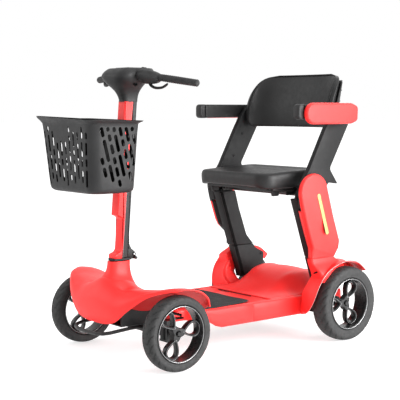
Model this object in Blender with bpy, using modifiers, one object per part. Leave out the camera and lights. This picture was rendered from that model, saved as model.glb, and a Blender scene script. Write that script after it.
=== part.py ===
"""Folding four-wheeled mobility scooter, built from separate named pieces.

Metres, +Z up.  The rider faces -Y, and +X is the rider's left.  Everything hangs from one
empty that stands on the ground midway between the axles.
"""
import math

import bmesh
import bpy
from mathutils import Matrix, Vector

# ---------------------------------------------------------------- driving dimensions
MID_Y = 0.054                # from the origin back to the middle of the wheelbase
WHEELBASE = 0.674
FRONT_AXLE = Vector((0.2465, -WHEELBASE / 2, 0.110))
REAR_AXLE = Vector((0.2547, WHEELBASE / 2, 0.120))
FRONT_TYRE = (0.110, 0.051)  # radius, width
REAR_TYRE = (0.120, 0.0615)
RIM_RADIUS = 0.083
GAP = 0.0003                 # between pieces that touch

STEER_FOOT = Vector((0.0, -0.3916, 0.0))    # where the steering axis meets the ground
STEER_RAKE = math.radians(4.9)
STEER_AXIS = Vector((0.0, math.sin(STEER_RAKE), math.cos(STEER_RAKE)))
TILT_PIVOT = Vector((0.0, -0.3215, 0.3115))
KINGPIN = Vector((0.190, FRONT_AXLE.y, 0.0))

DECK_HALF = 0.165
DECK_TOP = 0.143
SKIRT_FOOT = 0.080
WALL = 0.003                 # moulded shells
LEG_PIVOT = Vector((0.0, 0.2105, 0.2700))
SEAT_PIVOT = Vector((0.0, 0.2195, 0.482))
PITMAN_Z = 0.1580            # height of the steering arm on the stem
LEG_X = (0.2262, 0.2395)     # inner and outer face of the red leg cover
STRUT_X = (0.1760, 0.2075)   # the same of the strut inside it
ARMREST_PIVOT = Vector((0.0, 0.345, 0.728))

RED = (0.90, 0.045, 0.040)
DARK_RED = (0.42, 0.015, 0.015)
CHARCOAL = (0.070, 0.070, 0.072)
BLACK = (0.018, 0.018, 0.019)
STEEL = (0.42, 0.42, 0.43)


# ---------------------------------------------------------------- scene, materials, placing
for old in list(bpy.data.objects):
    bpy.data.objects.remove(old, do_unlink=True)

PARTS = bpy.data.collections.new("mobility_scooter")
CUTTERS = bpy.data.collections.new("cutters")
bpy.context.scene.collection.children.link(PARTS)
bpy.context.scene.collection.children.link(CUTTERS)
ROOT = bpy.data.objects.new("scooter_origin", None)
ROOT.location = (0.0, MID_Y, 0.0)
PARTS.objects.link(ROOT)


def material(name, colour, roughness=0.5, metallic=0.0):
    """A plain Principled material for one piece."""
    made = bpy.data.materials.new(name)
    made.use_nodes = True
    shader = made.node_tree.nodes["Principled BSDF"]
    shader.inputs["Base Color"].default_value = (*colour, 1.0)
    shader.inputs["Roughness"].default_value = roughness
    shader.inputs["Metallic"].default_value = metallic
    return made


def add(name, data, look=None, at=(0, 0, 0), cutter=False):
    """Put data in the scene as an object whose origin is at `at`, in the scooter's frame.

    The data keeps its place: it is given in the scooter's frame and moved back by `at`.
    """
    data.transform(Matrix.Translation(-Vector(at)))
    made = bpy.data.objects.new(name, data)
    made.location = at
    made.parent = ROOT
    if cutter:
        CUTTERS.objects.link(made)
        made.hide_render = True
        made.display_type = "WIRE"
    else:
        PARTS.objects.link(made)
        made.data.materials.append(material(name, *look))
    return made


def mesh_from(bm, smooth=None):
    """A mesh from a bmesh, with round faces shaded smooth below the given angle."""
    bmesh.ops.recalc_face_normals(bm, faces=bm.faces)
    data = bpy.data.meshes.new("shape")
    bm.to_mesh(data)
    bm.free()
    if smooth:
        data.shade_smooth()
        data.set_sharp_from_angle(angle=math.radians(smooth))
    return data


def mirrored(data):
    """A copy of a mesh on the other side of the scooter."""
    bm = bmesh.new()
    bm.from_mesh(data)
    bmesh.ops.transform(bm, matrix=Matrix.Scale(-1, 4, (1, 0, 0)), verts=bm.verts)
    return mesh_from(bm, smooth=35)


def bevel(thing, width, segments=2, angle=40):
    """Rounded edges."""
    mod = thing.modifiers.new("rounded", "BEVEL")
    mod.width = width
    mod.segments = segments
    mod.limit_method = "ANGLE"
    mod.angle_limit = math.radians(angle)
    return thing


def combine(thing, cutter, operation="DIFFERENCE"):
    """Cut or join with an exact Boolean."""
    mod = thing.modifiers.new("with_" + cutter.name, "BOOLEAN")
    mod.operation = operation
    mod.object = cutter
    return thing


# ---------------------------------------------------------------- shapes, in the scooter's frame
def box(low, high):
    """A box between two corners."""
    low, high = Vector(low), Vector(high)
    bm = bmesh.new()
    bmesh.ops.create_cube(bm, size=1.0)
    place = Matrix.Translation((low + high) / 2) @ Matrix.Diagonal((*(high - low), 1.0))
    bmesh.ops.transform(bm, matrix=place, verts=bm.verts)
    return mesh_from(bm)


def rod(start, end, radius, end_radius=None, sides=20):
    """A closed round bar or cone between two points."""
    start, end = Vector(start), Vector(end)
    bm = bmesh.new()
    along = end - start
    bmesh.ops.create_cone(bm, cap_ends=True, segments=sides, radius1=radius,
                          radius2=radius if end_radius is None else end_radius,
                          depth=along.length)
    turn = Vector((0, 0, 1)).rotation_difference(along).to_matrix().to_4x4()
    bmesh.ops.transform(bm, matrix=Matrix.Translation((start + end) / 2) @ turn, verts=bm.verts)
    return mesh_from(bm, smooth=35)


def rounded(points, radii, steps=4):
    """A closed outline with its corners turned into arcs; radii is one number or one each."""
    if not isinstance(radii, (list, tuple)):
        radii = [radii] * len(points)
    corners = [Vector(p) for p in points]
    outline = []
    for i, (corner, radius) in enumerate(zip(corners, radii)):
        back = (corners[i - 1] - corner).normalized()
        ahead = (corners[(i + 1) % len(corners)] - corner).normalized()
        half = back.angle(ahead) / 2
        if radius <= 0 or half > math.radians(88):
            outline.append(corner)
            continue
        centre = corner + (back + ahead).normalized() * (radius / math.sin(half))
        first = corner + back * (radius / math.tan(half)) - centre
        last = corner + ahead * (radius / math.tan(half)) - centre
        sweep = first.angle_signed(last)
        for k in range(steps + 1):
            outline.append(centre + Matrix.Rotation(-sweep * k / steps, 2) @ first)
    return outline


def arc(centre, radius, start, end, steps):
    """Points on a circle from one angle in degrees to another."""
    angles = [math.radians(start + (end - start) * k / steps) for k in range(steps + 1)]
    return [Vector((centre[0] + radius * math.cos(a), centre[1] + radius * math.sin(a)))
            for a in angles]


def plate(outlines, low, high, plane="YZ", edge=0.0):
    """A flat plate: filled outlines (the first is the rim, others are holes) made thick.

    plane YZ runs its thickness along X, and plane XY along Z.
    """
    curve = bpy.data.curves.new("outline", "CURVE")
    curve.dimensions = "2D"
    curve.fill_mode = "BOTH"
    curve.extrude = (high - low) / 2 - edge
    curve.bevel_depth = edge
    curve.bevel_resolution = 1
    curve.offset = -edge
    for outline in outlines:
        spline = curve.splines.new("POLY")
        spline.points.add(len(outline) - 1)
        for point, (u, v) in zip(spline.points, outline):
            point.co = (u, v, 0.0, 1.0)
        spline.use_cyclic_u = True
    turn = Matrix(((0, 0, 1), (1, 0, 0), (0, 1, 0))).to_4x4() if plane == "YZ" else Matrix()
    shift = ((low + high) / 2, 0, 0) if plane == "YZ" else (0, 0, (low + high) / 2)
    return solid(curve, Matrix.Translation(shift) @ turn)


def solid(curve, place=None):
    """The closed mesh of a curve, its caps welded on."""
    guide = bpy.data.objects.new("guide", curve)
    CUTTERS.objects.link(guide)
    evaluated = guide.evaluated_get(bpy.context.evaluated_depsgraph_get())
    shape = bpy.data.meshes.new_from_object(evaluated)
    bpy.data.objects.remove(guide)
    bm = bmesh.new()
    bm.from_mesh(shape)
    bmesh.ops.remove_doubles(bm, verts=bm.verts, dist=0.00001)
    if place:
        bmesh.ops.transform(bm, matrix=place, verts=bm.verts)
    return mesh_from(bm, smooth=35)


def tube(points, radius, sides=3):
    """A round bar along a path."""
    curve = bpy.data.curves.new("path", "CURVE")
    curve.dimensions = "3D"
    curve.bevel_depth = radius
    curve.bevel_resolution = sides
    curve.use_fill_caps = True
    spline = curve.splines.new("POLY")
    spline.points.add(len(points) - 1)
    for point, place in zip(spline.points, points):
        point.co = (*place, 1.0)
    return solid(curve)


def turned(profile, steps=36):
    """A closed ring turned about X: the profile is (radius, x) points round its section."""
    bm = bmesh.new()
    section = [bm.verts.new((x, 0.0, -r)) for r, x in profile]
    edges = [bm.edges.new(ends) for ends in zip(section, section[1:] + section[:1])]
    bmesh.ops.spin(bm, geom=section + edges, cent=(0, 0, 0), axis=(1, 0, 0), angle=2 * math.pi,
                   steps=steps, use_merge=True)
    bmesh.ops.remove_doubles(bm, verts=bm.verts, dist=0.00001)
    return mesh_from(bm, smooth=35)


def loft(rings, closed=True, lid=True):
    """A skin over rings of points that all have the same count; closed rings are capped."""
    bm = bmesh.new()
    rows = [[bm.verts.new(p) for p in ring] for ring in rings]
    count = len(rings[0])
    for here, there in zip(rows, rows[1:]):
        for i in range(count if closed else count - 1):
            j = (i + 1) % count
            bm.faces.new((here[i], here[j], there[j], there[i]))
    if closed:
        bm.faces.new(rows[0])
    if closed and lid:
        bm.faces.new(list(reversed(rows[-1])))
    return mesh_from(bm, smooth=35)


def squircle(half_x, half_y, count=20, power=3.0):
    """Points round an outline between an ellipse and a rectangle."""
    points = []
    for k in range(count):
        angle = 2 * math.pi * k / count
        c, s = math.cos(angle), math.sin(angle)
        points.append((half_x * math.copysign(abs(c) ** (2 / power), c),
                       half_y * math.copysign(abs(s) ** (2 / power), s)))
    return points


def between(keys, t):
    """A smooth value at t through (t, value) keys."""
    keys = [(k, Vector(v) if hasattr(v, "__len__") else v) for k, v in keys]
    if t <= keys[0][0]:
        return keys[0][1]
    if t >= keys[-1][0]:
        return keys[-1][1]
    i = max(n for n in range(len(keys) - 1) if keys[n][0] <= t)
    (t0, a), (t1, b) = keys[i], keys[i + 1]

    def slope(n):
        if n <= 0 or n >= len(keys) - 1:
            m = min(max(n, 0), len(keys) - 2)
            return (keys[m + 1][1] - keys[m][1]) * (1 / (keys[m + 1][0] - keys[m][0]))
        return (keys[n + 1][1] - keys[n - 1][1]) * (1 / (keys[n + 1][0] - keys[n - 1][0]))

    h = t1 - t0
    u = (t - t0) / h
    return (a * (2 * u**3 - 3 * u**2 + 1) + slope(i) * (h * (u**3 - 2 * u**2 + u))
            + b * (3 * u**2 - 2 * u**3) + slope(i + 1) * (h * (u**3 - u**2)))


def thicken(thing, wall, offset=-1.0):
    """Give an open surface a wall."""
    mod = thing.modifiers.new("wall", "SOLIDIFY")
    mod.thickness = wall
    mod.offset = offset
    mod.use_even_offset = True
    return thing


def pair(name, data, look, at=(0, 0, 0)):
    """The left piece and its mirror image on the right."""
    at = Vector(at)
    other = mirrored(data)
    left = add(name + "_left", data, look, at)
    right = add(name + "_right", other, look, (-at.x, at.y, at.z))
    return left, right


# ---------------------------------------------------------------- chassis
def chassis():
    """The steel frame under the deck, from the steering head back to the drive axle."""
    look = (BLACK, 0.45, 0.6)
    frame = add("chassis_frame", box((-0.034, -0.300, 0.090), (0.034, 0.262, 0.118)), look)
    channel = rounded([(-0.100, 0.186), (-0.100, 0.115), (0.100, 0.115), (0.100, 0.186),
                       (0.097, 0.186), (0.097, 0.118), (-0.097, 0.118), (-0.097, 0.186)], 0)
    turn = Matrix(((1, 0, 0), (0, 0, 1), (0, 1, 0))).to_4x4()
    front = plate([channel], -0.427, -0.296, "XY")
    front.transform(turn)
    combine(frame, add("front_channel", front, cutter=True), "UNION")
    beam = box((-0.178, -0.352, 0.094), (0.178, -0.322, 0.1165))
    combine(frame, add("front_beam", beam, cutter=True), "UNION")
    for side in (-1, 1):
        barrel = rod((side * KINGPIN.x, KINGPIN.y, 0.086), (side * KINGPIN.x, KINGPIN.y, 0.134), 0.0135)
        combine(frame, add(f"barrel{side}", barrel, cutter=True), "UNION")
    for side in (-1, 1):
        low, high = (side * KINGPIN.x, KINGPIN.y, 0.080), (side * KINGPIN.x, KINGPIN.y, 0.140)
        combine(frame, add(f"kingpin_bore{side}", rod(low, high, 0.0068, sides=16), cutter=True))
    socket = steering_rod(0.110, 0.130, 0.0155)
    combine(frame, add("stem_socket", socket, cutter=True))

    tube_shape = add("head_tube", steering_rod(0.1225, 0.2850, 0.0172), look)
    combine(tube_shape, add("head_bore", steering_rod(0.100, 0.300, 0.0133), cutter=True))
    middle = on_steering(PITMAN_Z)
    window = box((-0.030, middle.y - 0.001, PITMAN_Z - 0.006),
                 (0.030, middle.y + 0.030, PITMAN_Z + 0.006))
    combine(tube_shape, add("arm_window", window, cutter=True))


def on_steering(height):
    """The point of the steering axis at a height."""
    return STEER_FOOT + STEER_AXIS * (height / STEER_AXIS.z)


def steering_rod(low, high, radius, sides=20):
    """A round bar along the steering axis."""
    return rod(on_steering(low), on_steering(high), radius, sides=sides)


def bumper_bar():
    """A round hoop ahead of the nose, its two ends under the chassis channel."""
    half = [(0.092, -0.3530, 0.1065), (0.092, -0.390, 0.106), (0.092, -0.436, 0.103),
            (0.087, -0.459, 0.100), (0.072, -0.474, 0.097), (0.050, -0.480, 0.095),
            (0.0, -0.483, 0.094)]
    path = half + [(-x, y, z) for x, y, z in half[-2::-1]]
    add("bumper_bar", tube(path, 0.0055, sides=2), (BLACK, 0.35, 0.5))


FAIRING_STATIONS = [
    # x, then (y, z) from the lower front edge over the crown to the rear foot
    (0.000, [(-0.455, 0.119), (-0.458, 0.160), (-0.452, 0.200), (-0.432, 0.236), (-0.410, 0.258),
             (-0.368, 0.262), (-0.328, 0.256), (-0.306, 0.236), (-0.286, 0.196), (-0.262, 0.1465)]),
    (0.050, [(-0.453, 0.123), (-0.456, 0.162), (-0.449, 0.200), (-0.430, 0.228), (-0.408, 0.243),
             (-0.368, 0.246), (-0.328, 0.240), (-0.303, 0.222), (-0.280, 0.186), (-0.256, 0.1465)]),
    (0.100, [(-0.450, 0.153), (-0.450, 0.175), (-0.443, 0.201), (-0.425, 0.223), (-0.400, 0.232),
             (-0.360, 0.234), (-0.318, 0.230), (-0.285, 0.212), (-0.258, 0.180), (-0.236, 0.1465)]),
    (0.150, [(-0.439, 0.192), (-0.438, 0.203), (-0.432, 0.216), (-0.418, 0.229), (-0.396, 0.238),
             (-0.355, 0.241), (-0.310, 0.236), (-0.262, 0.218), (-0.226, 0.188), (-0.205, 0.1480)]),
    (0.200, [(-0.414, 0.221), (-0.412, 0.226), (-0.407, 0.232), (-0.398, 0.239), (-0.382, 0.244),
             (-0.345, 0.248), (-0.300, 0.243), (-0.252, 0.226), (-0.220, 0.196), (-0.205, 0.1560)]),
    (0.245, [(-0.383, 0.2365), (-0.381, 0.239), (-0.377, 0.242), (-0.370, 0.245), (-0.358, 0.248),
             (-0.335, 0.2495), (-0.300, 0.2445), (-0.258, 0.230), (-0.230, 0.206), (-0.220, 0.174)]),
    (0.275, [(-0.345, 0.2390), (-0.342, 0.2400), (-0.338, 0.2410), (-0.333, 0.2415), (-0.325, 0.2415),
             (-0.310, 0.2395), (-0.285, 0.2350), (-0.262, 0.2250), (-0.242, 0.206), (-0.236, 0.180)]),
]


def fairing_point(x, t):
    """A point of the hood's outer skin: x across, t from its front edge (0) to its foot (1)."""
    rows = []
    for at, profile in FAIRING_STATIONS:
        keys = [(n / (len(profile) - 1), p) for n, p in enumerate(profile)]
        rows.append((at, between(keys, t)))
    y, z = between([(-rows[1][0], rows[1][1])] + rows, abs(x))
    return Vector((x, y, z))


def fairing():
    """The red hood over the front wheels, with the collar that the tiller rises from."""
    columns = [0.0, 0.03, 0.06, 0.09, 0.12, 0.15, 0.18, 0.21, 0.24, 0.26, 0.275]
    columns = [-x for x in columns[:0:-1]] + columns
    rings = [[fairing_point(x, n / 13) for n in range(14)] for x in columns]
    hood = add("front_fairing", loft(rings, closed=False), (RED, 0.28))
    thicken(hood, WALL)
    collar = []
    for height, half_x, half_y in ((0.228, 0.040, 0.056), (0.244, 0.029, 0.044),
                                   (0.262, 0.0240, 0.0385), (0.2935, 0.0225, 0.0350)):
        middle = on_steering(height)
        collar.append([(x, middle.y + y, height) for x, y in squircle(half_x, half_y)])
    combine(hood, add("collar", loft(collar), cutter=True), "UNION")
    hollow = []
    for height, half_x, half_y in ((0.130, 0.0192, 0.040), (0.2360, 0.0192, 0.0315),
                                   (0.310, 0.0188, 0.0310)):
        middle = on_steering(height)
        hollow.append([(x, middle.y + y, height) for x, y in squircle(half_x, half_y)])
    combine(hood, add("collar_hollow", loft(hollow), cutter=True))

    liner = [(-0.425, 0.188), (-0.400, 0.168), (-0.275, 0.168), (-0.262, 0.182), (-0.278, 0.208),
             (-0.320, 0.222), (-0.400, 0.222), (-0.425, 0.212)]
    pair("arch_liner", plate([rounded(liner, 0.006, 2)], 0.1225, 0.1260), (DARK_RED, 0.5))


def deck():
    """The foot deck: a red tray, its rubber mat and what it hides."""
    neck, shoulder, nose = 0.112, -0.172, -0.2560
    plan = rounded([(-neck, nose), (neck, nose), (neck, shoulder - 0.030), (DECK_HALF, shoulder),
                    (DECK_HALF, 0.262), (-DECK_HALF, 0.262), (-DECK_HALF, shoulder),
                    (-neck, shoulder - 0.030)],
                   [0.012, 0.012, 0.020, 0.030, 0.012, 0.012, 0.030, 0.020], 3)
    tray = add("deck_shell", plate([plan], SKIRT_FOOT, DECK_TOP, "XY", edge=0.004), (RED, 0.3))
    side, thin = DECK_HALF - WALL, neck - WALL
    inner = rounded([(-thin, nose + WALL), (thin, nose + WALL), (thin, shoulder - 0.028),
                     (side, shoulder + 0.002), (side, 0.275), (-side, 0.275),
                     (-side, shoulder + 0.002), (-thin, shoulder - 0.028)],
                    [0.010, 0.010, 0.022, 0.028, 0, 0, 0.028, 0.022], 3)
    combine(tray, add("deck_hollow", plate([inner], 0.070, DECK_TOP - WALL, "XY"), cutter=True))

    passage = box((-0.037, -0.2700, 0.0700), (0.037, -0.2400, 0.1200))
    combine(tray, add("beam_passage", passage, cutter=True))

    mat = rounded([(-0.098, -0.232), (0.098, -0.232), (0.098, -0.196), (0.150, -0.160),
                   (0.150, -0.060), (0.132, 0.036), (-0.132, 0.036), (-0.150, -0.060),
                   (-0.150, -0.160), (-0.098, -0.196)], 0.010, 2)
    add("floor_mat", plate([mat], DECK_TOP + GAP, DECK_TOP + 0.0038, "XY"), (BLACK, 0.85))
    battery = add("battery_pack", box((-0.140, -0.120, 0.0955), (-0.042, 0.200, 0.1340)),
                  (CHARCOAL, 0.6))
    bevel(battery, 0.003, 1)


def rear_body():
    """The raised red body between the rear wheels, the wheel covers and the drive axle."""
    rings = []
    for y, half, height, crown in ((0.150, 0.150, 0.1465, 0.0), (0.180, 0.158, 0.160, 0.004),
                                   (0.215, 0.166, 0.184, 0.010), (0.250, 0.171, 0.197, 0.014),
                                   (0.300, 0.1735, 0.203, 0.014), (0.345, 0.1735, 0.197, 0.012),
                                   (0.385, 0.168, 0.176, 0.006), (0.405, 0.150, 0.1465, 0.0)):
        ring = []
        for k in range(13):
            u = -1 + k / 6
            drop = max(0.0, abs(u) - 0.80) / 0.20
            z = height + crown * (1 - u * u) - (height - 0.1465) * drop ** 1.5
            ring.append((half * u, y, z))
        rings.append(ring)
    hump = add("rear_body_shell", loft(rings, closed=False), (RED, 0.3))
    thicken(hump, WALL)

    def shaft(reach, radius):
        return rod((-reach, REAR_AXLE.y, REAR_AXLE.z), (reach, REAR_AXLE.y, REAR_AXLE.z), radius)

    axle = add("drive_axle", shaft(0.222, 0.0170), (BLACK, 0.5, 0.6))
    combine(axle, add("axle_stubs", shaft(0.268, 0.0060), cutter=True), "UNION")
    motor = rod((-0.140, 0.330, 0.123), (-0.046, 0.330, 0.123), 0.0300)
    combine(axle, add("drive_motor", motor, cutter=True), "UNION")
    for name, low, high in (("gearcase", (-0.046, 0.284, 0.078), (0.046, 0.386, 0.162)),
                            ("axle_tube_left", (0.150, 0.264, 0.088), (0.186, 0.356, 0.140)),
                            ("axle_tube_right", (-0.186, 0.264, 0.088), (-0.150, 0.356, 0.140))):
        combine(axle, add(name, box(low, high), cutter=True), "UNION")


COVER_EDGE = [  # (inner x, outer x, y, z) of the wheel cover, from its rear tip over the wheel and down
    (0.2085, 0.268, 0.4200, 0.2250), (0.2085, 0.270, 0.3850, 0.2480), (0.2085, 0.270, 0.3450, 0.2568),
    (0.2085, 0.268, 0.3050, 0.2530), (0.2085, 0.265, 0.2700, 0.2390), (0.2085, 0.263, 0.2415, 0.2180),
    (0.2060, 0.262, 0.2170, 0.1855), (0.1950, 0.256, 0.2030, 0.1450), (0.1840, 0.240, 0.2010, 0.1150),
    (0.1720, 0.207, 0.2035, 0.0900)]


def fenders():
    """Wheel covers with the foot that each leg folds on."""
    keys = [(n / (len(COVER_EDGE) - 1), Vector(p)) for n, p in enumerate(COVER_EDGE)]
    rings = []
    for share, lift in ((0.0, -0.001), (0.25, 0.003), (0.55, 0.005), (0.82, 0.004), (1.0, 0.0)):
        ring = []
        for k in range(19):
            t = k / 18
            inner, outer, y, z = between(keys, t)
            along = between(keys, min(t + 0.02, 1.0)) - between(keys, max(t - 0.02, 0.0))
            out = Vector((along[3], -along[2])).normalized() * lift
            ring.append((inner + (outer - inner) * share, y + out.x, z + out.y))
        rings.append(ring)
    shape = loft(rings, closed=False)
    cover, other = pair("wheel_cover", shape, (RED, 0.3))
    outline = rounded([(0.2130, 0.2690), (0.2200, 0.2480), (0.2330, 0.2250), (0.2420, 0.2080),
                       (0.2700, 0.2300), (0.3100, 0.2450), (0.3450, 0.2480), (0.3400, 0.2610),
                       (0.3190, 0.2690)],
                      [0, 0.02, 0.02, 0, 0.02, 0.02, 0, 0.006, 0], 3)
    foot = plate([outline], LEG_X[0] - 0.002, LEG_X[1] - 0.001)
    well = rod((0.1, REAR_AXLE.y, REAR_AXLE.z), (0.3, REAR_AXLE.y, REAR_AXLE.z),
               REAR_TYRE[0] + 0.004, sides=40)
    for thing, side in ((cover, 1), (other, -1)):
        thicken(thing, WALL, 1.0)
        block = add(f"leg_foot{side}", foot if side > 0 else mirrored(foot), cutter=True)
        combine(thing, block, "UNION")
        hollow = add(f"wheel_well{side}", well if side > 0 else mirrored(well), cutter=True)
        combine(thing, hollow)


# ---------------------------------------------------------------- steering and tiller
def steering():
    """The stem in the head tube, its hinge plate and its arm, and the tiller's hinge pin."""
    look = (STEEL, 0.4, 0.8)
    stem = add("steering_stem", steering_rod(0.1325, 0.3000, 0.0122), look, on_steering(0.2))
    top = on_steering(0.2985)
    flange = rounded([(-0.0175, top.y - 0.029), (0.0175, top.y - 0.029), (0.0175, -0.3300),
                      (-0.0175, -0.3300)], 0.006, 3)
    combine(stem, add("flange", plate([flange], 0.2955, 0.3015, "XY"), cutter=True), "UNION")
    tongue = rounded([(-0.3450, 0.2955), (-0.3150, 0.2955), (-0.3110, 0.3060), (-0.3150, 0.3190),
                      (-0.3265, 0.3190), (-0.3330, 0.3010), (-0.3450, 0.3010)],
                     [0, 0.003, 0.004, 0.004, 0.004, 0, 0], 2)
    combine(stem, add("hinge_tongue", plate([tongue], -0.0060, 0.0060), cutter=True), "UNION")
    foot = on_steering(PITMAN_Z)
    arm = box((-0.008, foot.y, PITMAN_Z - 0.003), (0.008, foot.y + 0.059, PITMAN_Z + 0.003))
    combine(stem, add("pitman_arm", arm, cutter=True), "UNION")
    combine(stem, add("hinge_bore", hinge_rod(0.0200, 0.0034), cutter=True))
    add("tilt_pin", hinge_rod(0.0172, 0.0028), look, TILT_PIVOT)


def hinge_rod(reach, radius):
    """A round bar on the tiller's hinge axis."""
    across = Vector((reach, 0.0, 0.0))
    return rod(TILT_PIVOT - across, TILT_PIVOT + across, radius, sides=16)


def tiller_y(height, offset):
    """Y of a line that runs up beside the steering axis at a distance behind it."""
    return on_steering(height).y + offset


def tiller_strip(front, back, low, high):
    """A side outline between two lines that follow the tiller's rake."""
    return [(tiller_y(low, front), low), (tiller_y(low, back), low),
            (tiller_y(high, back), high), (tiller_y(high, front), high)]


def tiller():
    """The red front casing with its hand recess, and the black rear cover."""
    top, low, front, notch = 0.7670, 0.3025, -0.0260, -0.0020
    casing = [(tiller_y(low, front), low), (tiller_y(low, 0.0), low), (tiller_y(top, 0.0), top),
              (tiller_y(top, front), top), (tiller_y(0.430, front), 0.430),
              (tiller_y(0.423, notch), 0.423), (tiller_y(0.322, notch), 0.322),
              (tiller_y(0.315, front), 0.315)]
    outline = rounded(casing, [0, 0, 0, 0, 0.002, 0.012, 0.012, 0.002], 3)
    shell = add("tiller_front_casing", plate([outline], -0.018, 0.018), (RED, 0.3), TILT_PIVOT)
    bevel(shell, 0.003, 2)
    rear = add("tiller_rear_cover", plate([tiller_strip(GAP, 0.0220, low, top)], -0.0170, 0.0170),
               (CHARCOAL, 0.5), TILT_PIVOT)
    for side in (-1, 1):
        ear = rounded([(tiller_y(0.3025, 0.015), 0.3060), (-0.3160, 0.3060), (-0.3160, 0.3190),
                       (-0.3260, 0.3400), (tiller_y(0.340, 0.015), 0.3400)],
                      [0, 0.004, 0.004, 0, 0], 2)
        shape = plate([ear], side * 0.0115 - 0.0045, side * 0.0115 + 0.0045)
        combine(rear, add(f"hinge_ear{side}", shape, cutter=True), "UNION")
    slot = box((-0.0068, -0.3480, 0.2980), (0.0068, -0.3000, 0.3250))
    combine(rear, add("tongue_slot", slot, cutter=True))
    combine(rear, add("ear_bore", hinge_rod(0.0200, 0.0034), cutter=True))

    lever = rounded([(-0.3140, 0.3500), (-0.3080, 0.3500), (-0.3010, 0.3120), (-0.2945, 0.2990),
                     (-0.2985, 0.2950), (-0.3050, 0.3000), (-0.3075, 0.3220)],
                    [0.002, 0.002, 0.01, 0.002, 0.002, 0.008, 0], 2)
    add("latch_lever", plate([lever], -0.0050, 0.0050), (STEEL, 0.4, 0.7), (0, -0.3110, 0.3470))
    coil = []
    for k in range(41):
        angle = 10 * math.pi * k / 40
        coil.append((0.0055 * math.cos(angle), -0.3110 + 0.0040 * math.sin(angle),
                     0.3560 + 0.0300 * k / 40))
    add("latch_spring", tube(coil, 0.0010, sides=0), (STEEL, 0.3, 1.0), TILT_PIVOT)
    bracket = [(tiller_y(0.560, -0.0263), 0.560), (tiller_y(0.700, -0.0263), 0.700),
               (-0.3908, 0.700), (-0.3992, 0.560)]
    add("basket_bracket", plate([bracket], -0.0300, 0.0300), (BLACK, 0.5), TILT_PIVOT)


HEAD_RINGS = (
    # height, half width, front y, rear y
    (0.7675, 0.0205, -0.3550, -0.3030), (0.7850, 0.0240, -0.3600, -0.3010),
    (0.8000, 0.0370, -0.3700, -0.2970), (0.8150, 0.0540, -0.3830, -0.2900),
    (0.8300, 0.0670, -0.3980, -0.2810), (0.8420, 0.0730, -0.4080, -0.2720),
    (0.8520, 0.0710, -0.4000, -0.2640), (0.8610, 0.0620, -0.3800, -0.2640),
    (0.8650, 0.0500, -0.3600, -0.2740),
)
GRIP_IN = Vector((0.0800, -0.3250, 0.8430))
GRIP_OUT = Vector((0.2520, -0.2640, 0.8320))


def control_head():
    """The head with its display, switches, handlebar, grips and finger levers."""
    rings = []
    for height, half, front, rear in HEAD_RINGS:
        middle, depth = (front + rear) / 2, (rear - front) / 2
        rings.append([(x, middle + y, height) for x, y in squircle(half, depth, 16, 2.8)])
    head = add("control_head", loft(rings), (CHARCOAL, 0.45), TILT_PIVOT)
    bore = rod((-GRIP_IN.x, GRIP_IN.y, GRIP_IN.z), GRIP_IN, 0.0095)
    recess = box((-0.034, -0.352, 0.8625), (0.034, -0.300, 0.8700))
    combine(head, add("display_recess", recess, cutter=True))
    combine(head, add("bar_bore", bore, cutter=True))
    for name, x, y, radius in (("power", -0.022, -0.288, 0.0068), ("horn", 0.0, -0.288, 0.0068),
                               ("dial", 0.024, -0.288, 0.0092)):
        well = rod((x, y, 0.8560), (x, y, 0.8700), radius, sides=20)
        combine(head, add(name + "_well", well, cutter=True))
    display = add("display_panel", box((-0.0335, -0.3515, 0.8630), (0.0335, -0.3005, 0.8665)),
                  (BLACK, 0.12), TILT_PIVOT)
    bevel(display, 0.001, 1)
    for name, x, colour in (("power_button", -0.022, STEEL), ("horn_button", 0.0, RED)):
        foot = (x, -0.288, 0.8590)
        add(name, rod(foot, (x, -0.288, 0.8680), 0.0060, sides=20), (colour, 0.4), foot)
    foot = (0.024, -0.288, 0.8565)
    dial = add("speed_dial", rod(foot, (0.024, -0.288, 0.8680), 0.0086, 0.0078, sides=24),
               (BLACK, 0.5), foot)
    mark = box((0.0235, -0.2955, 0.8675), (0.0245, -0.2880, 0.8690))
    combine(dial, add("dial_mark", mark, cutter=True), "UNION")

    along = GRIP_OUT - GRIP_IN
    bar_path = [GRIP_OUT - along * 0.04, GRIP_IN + along * 0.05, GRIP_IN]
    bar_path += [(-p.x, p.y, p.z) for p in bar_path[::-1]]
    add("handlebar", tube(bar_path, 0.0075, sides=3), (STEEL, 0.35, 0.9), TILT_PIVOT)
    grip = rod(GRIP_IN + along * 0.20, GRIP_OUT, 0.0118, 0.0108, sides=20)
    collar = rod(GRIP_IN + along * 0.02, GRIP_IN + along * 0.205, 0.0165, 0.0150, sides=20)
    inner = rod(GRIP_IN - along * 0.05, GRIP_OUT - along * 0.035, 0.0079, sides=20)
    for thing, side in zip(pair("grip", grip, (BLACK, 0.8), TILT_PIVOT), (1, -1)):
        ring = add(f"grip_collar{side}", collar if side > 0 else mirrored(collar), cutter=True)
        combine(thing, ring, "UNION")
        hole = add(f"grip_bore{side}", inner if side > 0 else mirrored(inner), cutter=True)
        combine(thing, hole)
    knuckle = GRIP_IN + along * 0.14 - Vector((0.0, 0.0, 0.0190))
    path = [knuckle + Vector(step) for step in ((0.0, 0.0, 0.0), (0.008, -0.006, -0.010),
                                                (0.030, -0.004, -0.017), (0.056, 0.010, -0.012),
                                                (0.070, 0.020, -0.001))]
    pair("finger_lever", tube(path, 0.0030, sides=2), (BLACK, 0.4), knuckle)


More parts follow.
